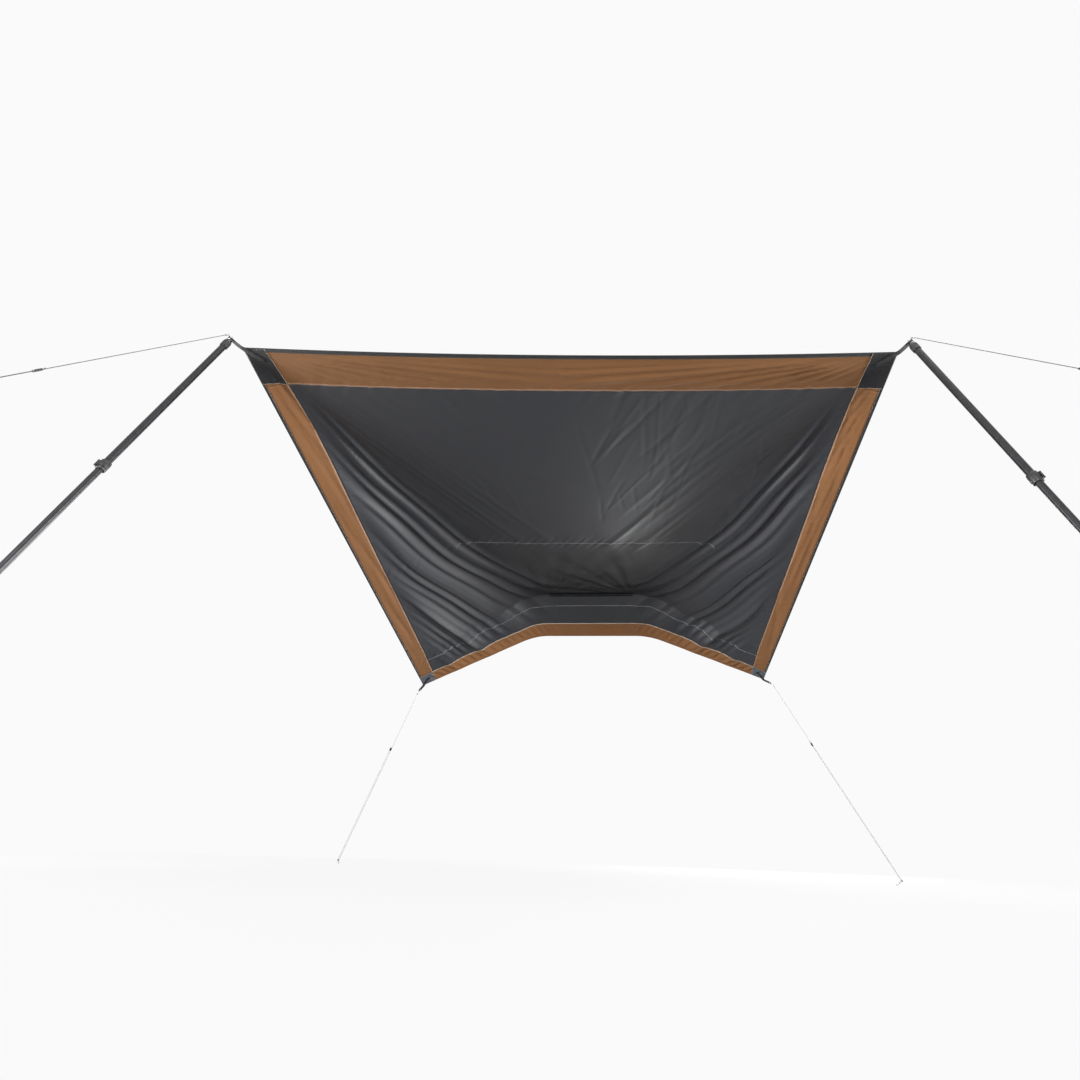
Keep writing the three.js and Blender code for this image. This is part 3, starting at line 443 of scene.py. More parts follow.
BAND_CREASES = tuple(Crease(*row) for row in (
    (2.6, 0.45, 0.0060, 0.8, 2.9), (4.2, 0.7, 0.0110, 0.5, 2.6), (6.4, 1.0, 0.0170, 0.3, 2.1),
    (9.2, 1.1, 0.0160, 0.3, 1.7), (12.4, 1.4, 0.0190, 0.2, 1.4), (16.5, 1.8, 0.0190, 0.2, 1.15),
    (22.0, 2.4, 0.0180, 0.15, 0.9), (30.0, 3.0, 0.0130, 0.15, 0.75), (89.0, 0.35, 0.0070, 0.8, 2.6),
    (87.7, 0.50, 0.0110, 0.6, 2.9), (86.2, 0.65, 0.0130, 0.4, 2.4), (84.0, 0.90, 0.0130, 0.3, 1.9),
    (81.0, 1.2, 0.0120, 0.25, 1.4), (76.5, 1.6, 0.0100, 0.2, 1.0), (69.0, 2.2, 0.0080, 0.2, 0.7),
))
# Creases along the side bands: inset from the edge, distance back, lean and half length.
SIDE_RAYS = ((0.062, 0.75, 0.010, 0.45), (0.105, 1.25, -0.030, 0.35), (0.050, 1.7, 0.045, 0.40),
             (0.095, 2.15, 0.030, 0.30), (0.120, 2.5, -0.040, 0.28), (0.070, 2.9, 0.020, 0.35),
             (0.035, 3.3, 0.030, 0.25), (0.110, 0.55, 0.050, 0.25))
# Bounds of the random creases' a, b, lean, half length and thickness: on the front band, on the
# whole roof, and on its right half, which gets two in four.
RAY_BOUNDS = (
    ((-1.8, 1.8), (0.05, 0.26), (0.15, 0.6), (0.08, 0.3), (0.008, 0.016)),
    ((-1.3, 1.6), (0.3, 2.9), (0.7, 1.5), (0.1, 0.4), (0.010, 0.022)),
    ((0.1, 1.4), (0.3, 2.9), (0.9, 1.7), (0.1, 0.45), (0.008, 0.022)),
)


def scattered_rays(count: int) -> tuple[Ray, ...]:
    """Creases along the side bands, and in fixed random places on the roof and the front band.

    Args:
        count: How many creases are in random places.

    Returns:
        The creases.
    """
    rng = np.random.default_rng(SEED)
    rows = [Ray(side * (PitchedCloth.half_width - inset), b + 0.1 * side,
                math.pi / 2 + side * lean, half, 0.016, rng.uniform(0.006, 0.010))
            for side in (-1, 1) for inset, b, lean, half in SIDE_RAYS]
    for number in range(count):
        bounds = RAY_BOUNDS[min(number % 4, 2)]
        a, b, lean, half, thick = (rng.uniform(*span) for span in bounds)
        turn = lean if a < 0 else math.pi - lean
        sign = 1 if rng.random() < 0.55 else -1
        rows.append(Ray(a, b, turn, half, thick, sign * rng.uniform(0.0010, 0.0030)))
    return tuple(rows)


CLOTH = PitchedCloth(flap_creases=FLAP_CREASES, corner_creases=CORNER_CREASES,
                     band_creases=BAND_CREASES, rays=scattered_rays(170))


# Meshes


def linked(name: str, data: bpy.types.ID) -> Piece:
    """A new object with this data, linked to the scene."""
    made = bpy.data.objects.new(name, data)
    bpy.context.scene.collection.objects.link(made)
    return made


def mesh_object(name: str, points: Array, faces: Sequence, uvs: Array | None = None,
                smooth_count: int | None = None) -> Piece:
    """An object from points and faces, linked to the scene.

    Args:
        name: The piece's name.
        points: The points, N by 3.
        faces: Rows of point numbers.
        uvs: A place for each point on its material, N by 2.
        smooth_count: How many faces, from the first, are shaded smooth. Without it, all are.

    Returns:
        The new object.
    """
    mesh = bpy.data.meshes.new(name)
    mesh.from_pydata(np.asarray(points, float).tolist(), [],
                     [list(map(int, face)) for face in faces])
    if uvs is not None:
        layer = mesh.uv_layers.new(name="cut")
        loops = np.zeros(len(mesh.loops), np.int32)
        mesh.loops.foreach_get("vertex_index", loops)
        layer.data.foreach_set("uv", np.asarray(uvs, np.float32)[loops].ravel())
    count = len(mesh.polygons) if smooth_count is None else smooth_count
    mesh.polygons.foreach_set("use_smooth", np.arange(len(mesh.polygons)) < count)
    mesh.update()
    return linked(name, mesh)


def grid_faces(rows: int, columns: int, first: int = 0) -> Array:
    """Four-sided faces of a grid of points, row by row."""
    j, i = np.meshgrid(np.arange(rows - 1), np.arange(columns - 1), indexing="ij")
    k = (first + j * columns + i).ravel()
    return np.stack([k, k + 1, k + columns + 1, k + columns], axis=1)


def closed_layer(name: str, middle: Array, half: Array, uvs: Array) -> Piece:
    """A thin closed body about a grid of points, with a flat rim.

    Args:
        name: The piece's name.
        middle: The middle surface, rows by columns by 3.
        half: The way from it to the upper surface, of the same layout.
        uvs: Places on the material, rows by columns by 2.

    Returns:
        The new object.
    """
    rows, columns = middle.shape[:2]
    count = rows * columns
    top = grid_faces(rows, columns)
    bottom = grid_faces(rows, columns, count)[:, ::-1]
    number = np.arange(count).reshape(rows, columns)
    rim = np.concatenate([number[0], number[1:, -1], number[-1, -2::-1], number[-2:0:-1, 0]])
    after = np.roll(rim, -1)
    wall = np.stack([rim + count, after + count, after, rim], axis=1)
    points = np.concatenate([(middle + half).reshape(-1, 3), (middle - half).reshape(-1, 3)])
    return mesh_object(name, points, np.concatenate([top, bottom, wall]),
                       np.tile(uvs.reshape(-1, 2), (2, 1)), len(top) + len(bottom))


def round_turns(sides: int) -> Array:
    """Angles once round, evenly spaced."""
    return np.linspace(0, 2 * np.pi, sides, endpoint=False)


def carried_normals(tangents: Array) -> Array:
    """Unit normals that turn as little as they can along a path."""
    guide = np.array([0, 0, 1.0]) if abs(tangents[0][2]) < 0.9 else np.array([1.0, 0, 0])
    normal = unit(guide - tangents[0] * (guide @ tangents[0]))
    normals = []
    for tangent in tangents:
        normal = unit(normal - tangent * (normal @ tangent))
        normals.append(normal)
    return np.array(normals)


def tube_rings(path: Array, radius: float, sides: int, looped: bool = False) -> Array:
    """Rings of points round each point of a path, N by sides by 3."""
    if looped:
        tangents = unit(np.roll(path, -1, axis=0) - np.roll(path, 1, axis=0))
        first = unit(np.cross(tangents[0], tangents[len(path) // 4]))
        normals = unit(first - tangents * (tangents @ first)[:, None])
    else:
        tangents = unit(np.gradient(path, axis=0))
        normals = carried_normals(tangents)
    turns = round_turns(sides)[None, :, None]
    ring = (np.cos(turns) * np.cross(tangents, normals)[:, None, :]
            + np.sin(turns) * normals[:, None, :])
    return path[:, None, :] + ring * radius


def tube_mesh(name: str, path: Array, radius: float, sides: int) -> Piece:
    """A closed tube along a path, with its material laid out round and along it.

    Args:
        name: The piece's name.
        path: The points that the tube follows.
        radius: The tube's radius.
        sides: How many faces go round it.

    Returns:
        The new object.
    """
    j, i = np.meshgrid(np.arange(len(path) - 1), np.arange(sides), indexing="ij")
    a = (j * sides + i).ravel()
    b = (j * sides + (i + 1) % sides).ravel()
    last = (len(path) - 1) * sides
    faces = [*np.stack([a, b, b + sides, a + sides], axis=1), range(sides)[::-1],
             range(last, last + sides)]
    around, along = round_turns(sides)[None, :], run_lengths(path)[:, None] / radius
    uvs = np.stack(np.broadcast_arrays(around, along), axis=-1) / (2 * np.pi)
    points = tube_rings(path, radius, sides)
    return mesh_object(name, points.reshape(-1, 3), faces, uvs.reshape(-1, 2))


def placed(x: Array, y: Array, z: Array, origin: Array) -> Matrix:
    """A matrix whose columns are three directions and a place."""
    made = np.eye(4)
    made[:3] = np.stack([x, y, z, origin], axis=1)
    return Matrix(made.tolist())


def axes(place: Matrix) -> tuple[Array, ...]:
    """The columns of a matrix: three directions and a place."""
    return tuple(np.array(place)[:3].T)


def moved(x: float = 0.0, y: float = 0.0) -> Matrix:
    """A matrix that moves along X and Y."""
    return Matrix.Translation((x, y, 0))


def rounded_outline(width: float, depth: float, corner: float, steps: int = 4) -> Array:
    """The outline of a rectangle with round corners about the origin, N by 2."""
    quarter = np.linspace(0, np.pi / 2, steps + 1)
    corners = []
    for k, (across, up) in enumerate(((1, 1), (-1, 1), (-1, -1), (1, -1))):
        turns = quarter + k * np.pi / 2
        corners.append(np.stack([across * (width / 2 - corner) + corner * np.cos(turns),
                                 up * (depth / 2 - corner) + corner * np.sin(turns)], axis=-1))
    return np.concatenate(corners)


@dataclass(frozen=True)
class Flutes:
    """Grooves down a turned body: how many, how deep, and between which heights."""

    count: int
    depth: float
    low: float
    high: float


class Form:
    """A piece that is put together from closed bodies, with its hard edges kept hard."""

    HARD_EDGE = math.radians(34)

    def __init__(self) -> None:
        """Starts an empty form."""
        self.body = bmesh.new()

    def rings(self, rings: Array, place: Matrix | None = None, looped: bool = False) -> "Form":
        """Adds a body through rings of points.

        Args:
            rings: N rings by M points by 3.
            place: Where the body stands.
            looped: Whether the last ring joins the first, so that the body has no ends.

        Returns:
            The same form.
        """
        if place is not None:
            matrix = np.array(place)
            rings = rings @ matrix[:3, :3].T + matrix[:3, 3]
        rows = [[self.body.verts.new(point) for point in ring] for ring in rings.tolist()]
        pairs = list(zip(rows, rows[1:])) + ([(rows[-1], rows[0])] if looped else [])
        for low, high in pairs:
            for k in range(len(low)):
                n = (k + 1) % len(low)
                self.body.faces.new((low[k], low[n], high[n], high[k]))
        if not looped:
            self.body.faces.new(rows[0][::-1])
            self.body.faces.new(rows[-1])
        return self

    def turned(self, profile: Profile, place: Matrix | None = None, sides: int = 48,
               flutes: Flutes | None = None) -> "Form":
        """Adds a body turned about its Y axis.

        Args:
            profile: Radius and height along the outline. It starts and ends on the axis, or it
                comes back to its start and the body is hollow.
            place: Where the body stands.
            sides: How many faces go round it.
            flutes: Grooves down it.

        Returns:
            The same form.
        """
        outline = np.array(profile, float)
        hollow = bool(np.allclose(outline[0], outline[-1]))
        outline = outline[:-1] if hollow else outline[outline[:, 0] > 1e-6]
        turns = round_turns(sides)
        radius = np.repeat(outline[:, :1], sides, axis=1)
        if flutes:
            inside = (outline[:, 1] > flutes.low) & (outline[:, 1] < flutes.high)
            inside &= outline[:, 0] > outline[:, 0].max() * 0.88
            groove = (0.5 + 0.5 * np.cos(turns * flutes.count)) ** 2
            radius = radius - inside[:, None] * groove * flutes.depth
        heights = np.repeat(outline[:, 1:], sides, axis=1)
        rings = np.stack([radius * np.cos(turns), heights, -radius * np.sin(turns)], axis=-1)
        return self.rings(rings, place, hollow)

    def part_turn(self, profile: Profile, start: float, sweep: float, place: Matrix,
                  sides: int) -> "Form":
        """Adds a body turned part of the way round, with flat ends."""
        outline = np.array(profile, float)
        turns = np.linspace(start, start + sweep, sides)[:, None]
        rings = np.stack([outline[:, 0] * np.cos(turns), outline[:, 1] + turns * 0,
                          -outline[:, 0] * np.sin(turns)], axis=-1)
        return self.rings(rings, place)

    def block(self, width: float, height: float, depth: float, place: Matrix,
              edge: float = 0.0006) -> "Form":
        """Adds a block, X by Y by Z about its place, with rounded edges."""
        rings = []
        steps = ((1.0, 0.0), (0.3, 0.3), (0.0, 1.0))
        for level, rows in ((-1, steps), (1, steps[::-1])):
            for inset, lift in rows:
                outline = rounded_outline(width - 2 * edge * inset, depth - 2 * edge * inset,
                                          edge * (1.6 - inset))
                y = np.full(len(outline), level * (height / 2 - edge * lift))
                rings.append(np.stack([outline[:, 0], y, outline[:, 1]], axis=-1))
        return self.rings(np.array(rings), place)

    def pipe(self, path: Array, radius: float, sides: int, looped: bool = False) -> "Form":
        """Adds a round bar along a path."""
        return self.rings(tube_rings(path, radius, sides, looped), looped=looped)

    def done(self, name: str) -> Piece:
        """Makes the piece."""
        bmesh.ops.recalc_face_normals(self.body, faces=self.body.faces)
        mesh = bpy.data.meshes.new(name)
        self.body.to_mesh(mesh)
        self.body.free()
        return hard_edged(linked(name, mesh))


def hard_edged(made: Piece) -> Piece:
    """Shades a piece smooth, apart from its sharp edges."""
    body = bmesh.new()
    body.from_mesh(made.data)
    for face in body.faces:
        face.smooth = True
    for edge in body.edges:
        edge.smooth = len(edge.link_faces) == 2 and edge.calc_face_angle(0) < Form.HARD_EDGE
    body.to_mesh(made.data)
    body.free()
    return made


def drilled(made: Piece, cutter: Piece) -> Piece:
    """Cuts one piece out of another for good, and removes the cutter."""
    cut = made.modifiers.new("holes", "BOOLEAN")
    cut.operation = "DIFFERENCE"
    cut.solver = "EXACT"
    cut.object = cutter
    shown = made.evaluated_get(bpy.context.evaluated_depsgraph_get())
    mesh = bpy.data.meshes.new_from_object(shown)
    made.modifiers.clear()
    made.data = mesh
    bpy.data.objects.remove(cutter)
    return hard_edged(made)


# Finishes


class Tree:
    """A node tree that is filled by calls, in which numbers are set and sockets are linked."""

    def __init__(self, tree: bpy.types.NodeTree) -> None:
        """Starts with the tree's own nodes."""
        self.tree = tree

    def __getitem__(self, name: str) -> Node:
        """One of the tree's nodes."""
        return self.tree.nodes[name]

    def feed(self, node: Node, inputs: dict[str | int, object]) -> Node:
        """Gives a node's inputs their values.

        Args:
            node: The node.
            inputs: A number, a colour or another node's socket for each input.

        Returns:
            The same node.
        """
        for key, value in inputs.items():
            if isinstance(value, Socket):
                self.tree.links.new(value, node.inputs[key])
            elif isinstance(value, tuple):
                node.inputs[key].default_value = (*value, 1)
            else:
                node.inputs[key].default_value = value
        return node

    def add(self, kind: str, inputs: dict[str | int, object] | None = None) -> Node:
        """Adds a shader node and feeds it."""
        return self.feed(self.tree.nodes.new(f"ShaderNode{kind}"), inputs or {})

    def math(self, kind: str, *values: object) -> Socket:
        """Adds a math node and gives its output."""
        return self.operate("Math", kind, dict(enumerate(values))).outputs[0]

    def operate(self, node_kind: str, operation: str, inputs: dict[str | int, object]) -> Node:
        """Adds a node that has an operation, and feeds it."""
        node = self.add(node_kind)
        node.operation = operation
        return self.feed(node, inputs)

    def mix(self, share: object, first: object, second: object) -> Socket:
        """Mixes two colours and gives the result's socket."""
        node = self.add("Mix")
        node.data_type = "RGBA"
        return self.feed(node, {0: share, 6: first, 7: second}).outputs[2]

    def mix_shaders(self, share: object, first: Node, second: Node) -> Socket:
        """Mixes the light of two shaders."""
        return self.add("MixShader", {0: share, 1: first.outputs[0],
                                      2: second.outputs[0]}).outputs[0]

    def group(self, shared: bpy.types.NodeTree, inputs: dict[str | int, object]) -> Node:
        """Places a shared group with its own values."""
        node = self.add("Group")
        node.node_tree = shared
        return self.feed(node, inputs)


class Effect(Tree):
    """A shared effect as a node group, with a Vector, float inputs and float outputs."""

    def __init__(self, name: str, inputs: dict[str, float], outputs: Sequence[str]) -> None:
        """Makes the group with its sockets.

        Args:
            name: The group's name.
            inputs: Each float input's name and default value.
            outputs: Each output's name.
        """
        super().__init__(bpy.data.node_groups.new(name, "ShaderNodeTree"))
        interface = self.tree.interface
        interface.new_socket(name="Vector", in_out="INPUT", socket_type="NodeSocketVector")
        for label, value in inputs.items():
            socket = interface.new_socket(name=label, in_out="INPUT", socket_type="NodeSocketFloat")
            socket.default_value = value
        for label in outputs:
            interface.new_socket(name=label, in_out="OUTPUT", socket_type="NodeSocketFloat")
        self.given = self.tree.nodes.new("NodeGroupInput").outputs
        self.leave = self.tree.nodes.new("NodeGroupOutput")

    def noise(self, scale: object, detail: float) -> Socket:
        """Adds a noise texture over the group's Vector and gives its strength."""
        return self.add("TexNoise", {"Vector": self.given["Vector"], "Scale": scale,
                                     "Detail": detail}).outputs["Fac"]

    def spread(self, value: Socket, low: float, high: float) -> Socket:
        """Adds a node that spreads a range of values over 0 to 1."""
        return self.add("MapRange", {"Value": value, "From Min": low,
                                     "From Max": high}).outputs["Result"]

    def done(self, outputs: dict[str, Socket]) -> bpy.types.NodeTree:
        """Links the outputs and gives the group."""
        self.feed(self.leave, outputs)
        return self.tree


def weave_group() -> bpy.types.NodeTree:
    """Threads over and under each other, with a little unevenness.

    Returns:
        A group with a Height and a Mask, where Pitch is threads in each unit of its Vector.
    """
    group = Effect("weave", {"Pitch": 900.0, "Uneven": 0.25}, ("Height", "Mask"))
    scaled = group.operate("VectorMath", "SCALE", {0: group.given["Vector"],
                                                   "Scale": group.given["Pitch"]})
    parts = group.add("SeparateXYZ", {0: scaled.outputs[0]})
    waves = [group.math("SINE", group.math("MULTIPLY", parts.outputs[axis], math.pi))
             for axis in ("X", "Y")]
    product = group.math("MULTIPLY", *waves)
    uneven = group.math("MULTIPLY", group.noise(26, 3), group.given["Uneven"])
    return group.done({"Height": group.math("ADD", product, uneven),
                       "Mask": group.math("ADD", group.math("MULTIPLY", product, 0.5), 0.5)})


def mottle_group() -> bpy.types.NodeTree:
    """Soft cloudy variation and fine specks, for handled or outdoor surfaces.

    Returns:
        A group with a Cloud and a Speck, each from 0 to 1.
    """
    group = Effect("mottle", {"Cloud scale": 3.0, "Speck scale": 300.0}, ("Cloud", "Speck"))
    return group.done({
        label: group.spread(group.noise(group.given[f"{label} scale"], detail), 0.3, 0.7)
        for label, detail in (("Cloud", 5.0), ("Speck", 2.0))})


def wear_group() -> bpy.types.NodeTree:
    """Where edges stand out and are rubbed, broken up by noise.

    Returns:
        A group with a Wear mask from 0 to 1.
    """
    group = Effect("edge_wear", {"Amount": 0.6, "Noise scale": 40.0}, ("Wear",))
    raised = group.spread(group.add("NewGeometry").outputs["Pointiness"], 0.53, 0.62)
    broken = group.math("MULTIPLY", raised, group.noise(group.given["Noise scale"], 4))
    return group.done({"Wear": group.math("MULTIPLY", broken, group.given["Amount"])})


class Coordinates(Enum):
    """Which coordinates a finish is laid out in."""

    CUT = "UV"
    BODY = "Object"


@dataclass(frozen=True)
class Finish:
    """One finish: its record slot, its colours, its gloss and its fine relief."""

    name: str
    slot: str
    colour: Colour
    second: Colour
    roughness: float
    metallic: float = 0.0
    sheen: float = 0.0
    specular: float = 0.5
    coordinates: Coordinates = Coordinates.BODY
    weave_pitch: float = 0.0
    weave_depth: float = 0.0
    weave_tint: float = 0.25
    cloud_scale: float = 3.0
    cloud_share: float = 0.5
    speck_scale: float = 300.0
    speck_depth: float = 0.0
    gloss_change: float = 0.08
    wear_colour: Colour | None = None
    duller_top: float = 0.0

    THREAD_SHADE = 0.55
    BUMP = {"Strength": 0.6, "Distance": 1.0}

    def material(self, groups: dict[str, bpy.types.NodeTree]) -> bpy.types.Material:
        """Builds the material.

        Args:
            groups: The shared node groups, by name.

        Returns:
            The new material.
        """
        made = bpy.data.materials.new(self.name)
        made.use_nodes = True
        tree = Tree(made.node_tree)
        where = {"Vector": tree.add("TexCoord").outputs[self.coordinates.value]}
        mottle = tree.group(groups["mottle"], {**where, "Cloud scale": self.cloud_scale,
                                               "Speck scale": self.speck_scale}).outputs
        cloud = tree.math("MULTIPLY", mottle["Cloud"], self.cloud_share)
        colour = tree.mix(cloud, self.colour, self.second)
        height = tree.math("MULTIPLY", mottle["Speck"], self.speck_depth)
        if self.weave_pitch:
            weave = tree.group(groups["weave"], {**where, "Pitch": self.weave_pitch}).outputs
            raised = tree.math("MULTIPLY", weave["Height"], self.weave_depth)
            height = tree.math("ADD", height, raised)
            hidden = tree.math("MULTIPLY", weave["Mask"], self.weave_tint)
            darker = tuple(part * self.THREAD_SHADE for part in self.colour)
            colour = tree.mix(hidden, colour, darker)
        if self.wear_colour:
            wear = tree.group(groups["edge_wear"], where)
            colour = tree.mix(wear.outputs["Wear"], colour, self.wear_colour)
        change = tree.math("MULTIPLY", mottle["Cloud"], self.gloss_change)
        rough = tree.math("ADD", change, self.roughness - self.gloss_change / 2)
        if self.duller_top:
            parts = tree.add("SeparateXYZ", {0: tree.add("NewGeometry").outputs["True Normal"]})
            upward = tree.math("GREATER_THAN", parts.outputs["Z"], 0.0)
            rough = tree.math("ADD", rough, tree.math("MULTIPLY", upward, self.duller_top))
        bump = tree.add("Bump", {**self.BUMP, "Height": height})
        tree.feed(tree["Principled BSDF"], {
            "Metallic": self.metallic, "Sheen Weight": self.sheen,
            "Specular IOR Level": self.specular, "Base Color": colour, "Roughness": rough,
            "Normal": bump.outputs["Normal"]})
        return made


def linear(red: int, green: int, blue: int) -> Colour:
    """A colour as seen on a screen, as the light values that shaders use."""
    return tuple(c / 12.92 if c <= 0.04045 else ((c + 0.055) / 1.055) ** 2.4
                 for c in (red / 255, green / 255, blue / 255))


ROOF_CLOTH = Finish(
    "roof_cloth", "roof_cloth", linear(42, 43, 48), linear(35, 36, 40), 0.42, specular=0.9,
    coordinates=Coordinates.CUT, weave_pitch=1400, weave_depth=0.00003, weave_tint=0.12,
    cloud_scale=1.6, cloud_share=0.6, gloss_change=0.10, duller_top=0.42)
BAND_CLOTH = Finish(
    "band_cloth", "band_cloth", linear(126, 88, 57), linear(111, 77, 49), 0.66, specular=0.15,
    coordinates=Coordinates.CUT, weave_pitch=1100, weave_depth=0.00008, weave_tint=0.3,
    cloud_scale=2.4)
WEBBING = Finish(
    "webbing", "webbing", linear(20, 20, 22), linear(14, 14, 16), 0.75, sheen=0.05,
    coordinates=Coordinates.CUT, weave_pitch=420, weave_depth=0.0004, weave_tint=0.6,
    cloud_scale=9)
PATCH_CLOTH = Finish(
    "patch_cloth", "patch_cloth", linear(25, 25, 28), linear(18, 18, 21), 0.6,
    coordinates=Coordinates.CUT, weave_pitch=700, weave_depth=0.00015, weave_tint=0.5,
    cloud_scale=12)
REAR_PATCH_CLOTH = replace(PATCH_CLOTH, name="rear_patch_cloth", colour=linear(84, 88, 94),
                           second=linear(70, 74, 80), weave_tint=0.4)
PIPING = Finish("piping", "patch_cloth", linear(142, 130, 118), linear(124, 114, 104), 0.7,
                weave_pitch=900, weave_depth=0.0001)
DARK_THREAD = Finish("dark_thread", "webbing", linear(38, 38, 40), linear(30, 30, 32), 0.6)
BROWN_THREAD = Finish("brown_thread", "band_cloth", linear(120, 80, 52), linear(104, 70, 46), 0.6)
GREY_THREAD = Finish("grey_thread", "webbing", linear(66, 66, 70), linear(54, 54, 58), 0.6)
SEAM_THREAD = Finish("seam_thread", "roof_cloth", linear(206, 206, 208), linear(180, 180, 184), 0.6)
SELVEDGE = Finish("selvedge", "band_cloth", linear(150, 116, 90), linear(134, 102, 78), 0.75,
                  coordinates=Coordinates.CUT, weave_pitch=1100, weave_depth=0.0001)
# The rear band's turned edge is a real strip. It is painted paler than the other selvedges: a
# painted highlight along the rear band's inner edge.
SELVEDGE_WITH_PAINTED_HIGHLIGHT = replace(SELVEDGE, name="selvedge_painted_highlight", colour=linear(176, 158, 142),
                        second=linear(160, 144, 130))
SEAM_TAPE = replace(SELVEDGE, name="seam_tape", slot="roof_cloth", colour=linear(120, 120, 124),
                    second=linear(84, 84, 88), roughness=0.6, cloud_scale=5, cloud_share=0.9)
STEEL = Finish(
    "steel", "steel", linear(158, 160, 164), linear(140, 142, 146), 0.34, metallic=1.0,
    cloud_scale=60, speck_scale=900, speck_depth=0.00003, gloss_change=0.16)
TUBE = Finish(
    "pole_tube", "pole_tube", linear(30, 30, 32), linear(22, 22, 24), 0.34, metallic=0.5,
    cloud_scale=8, speck_scale=1400, speck_depth=0.00003, wear_colour=linear(96, 97, 100))
RAIL = Finish(
    "rail", "rail", linear(36, 37, 39), linear(28, 29, 31), 0.42, metallic=0.5, cloud_scale=9,
    speck_scale=1200, speck_depth=0.00003, wear_colour=linear(110, 111, 114))
PLASTIC = Finish(
    "black_plastic", "black_plastic", linear(24, 24, 26), linear(17, 17, 19), 0.48,
    cloud_scale=20, speck_scale=1100, speck_depth=0.00006, wear_colour=linear(58, 58, 60))
RUBBER = Finish("foot_rubber", "foot_rubber", linear(24, 24, 24), linear(38, 36, 34), 0.85,
                cloud_scale=30, speck_scale=700, speck_depth=0.0001)
KEDER = Finish("keder_tape", "webbing", linear(28, 28, 30), linear(20, 20, 22), 0.7, sheen=0.1,
               weave_pitch=800, weave_depth=0.0002, weave_tint=0.5, cloud_scale=9)
CORD_KNOT = Finish(
    "cord_knot", "cord", linear(122, 123, 124), linear(104, 105, 106), 0.7, sheen=0.1,
    weave_pitch=1400, weave_depth=0.0002, weave_tint=0.3, cloud_scale=60)
PALE_CORD = Finish(
    "pale_cord", "cord", linear(138, 139, 140), linear(118, 119, 120), 0.7, sheen=0.1,
    coordinates=Coordinates.CUT, weave_pitch=8, weave_depth=0.0003, weave_tint=0.3,
    cloud_scale=4)
GREY_CORD = replace(PALE_CORD, name="grey_cord", colour=linear(84, 86, 88),
                    second=linear(66, 68, 70))


class Wardrobe:
    """All finishes as materials, built once."""

    def __init__(self) -> None:
        """Builds the shared groups."""
        self.groups = {"weave": weave_group(), "mottle": mottle_group(), "edge_wear": wear_group()}
        self.made: dict[str, bpy.types.Material] = {}

    def material(self, finish: Finish) -> bpy.types.Material:
        """The finish's material, built when it is first asked for."""
        if finish.name not in self.made:
            self.made[finish.name] = finish.material(self.groups)
        return self.made[finish.name]

    def dress(self, piece: Piece, finish: Finish, *replaces: str, body: str = ROOT_BODY) -> Piece:
        """Gives a piece its material and its places in the frame.

        Args:
            piece: The piece.
            finish: Its finish, which has the record's material slot.
            replaces: The CAD nodes that it stands for.
            body: The body that it rides on.

        Returns:
            The same piece.
        """
        piece.data.materials.clear()
        piece.data.materials.append(self.material(finish))
        if replaces:
            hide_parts(*replaces)
        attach(piece, body)
        log.info("%s rides on %s", piece.name, body)
        return piece


# Camera, light and floor


@dataclass(frozen=True)
class Lamp:
    """A square soft light: its place, what it faces, its size and its power."""

    name: str
    place: tuple[float, float, float]
    target: tuple[float, float, float]
    size: float
    power: float

    def build(self) -> None:
        """Makes the light, unseen by the camera."""
        data = bpy.data.lights.new(self.name, "AREA")
        data.shape, data.size, data.energy = "SQUARE", self.size, self.power
        made = linked(self.name, data)
        made.visible_camera = False
        made.location = self.place
        aim = Vector(self.target) - Vector(self.place)
        made.rotation_euler = aim.to_track_quat("-Z", "Y").to_euler()


LAMPS = (
    Lamp("front_light", (-1.5, -10.5, -0.9), (0, -1.0, -0.3), 4.0, 850),
    Lamp("rear_light", (3.4, 8.0, -1.5), (0.9, -1.4, -0.1), 6.0, 2300),
    Lamp("top_light", (2.0, -4.0, 7.0), (0, -1.5, 0), 5.0, 450),
    Lamp("left_light", (-9.0, -3.0, -1.3), (1.2, -1.6, -0.3), 2.0, 1400),
    Lamp("right_light", (9.0, -3.0, -1.3), (-1.2, -1.6, -0.3), 2.0, 1400),
)


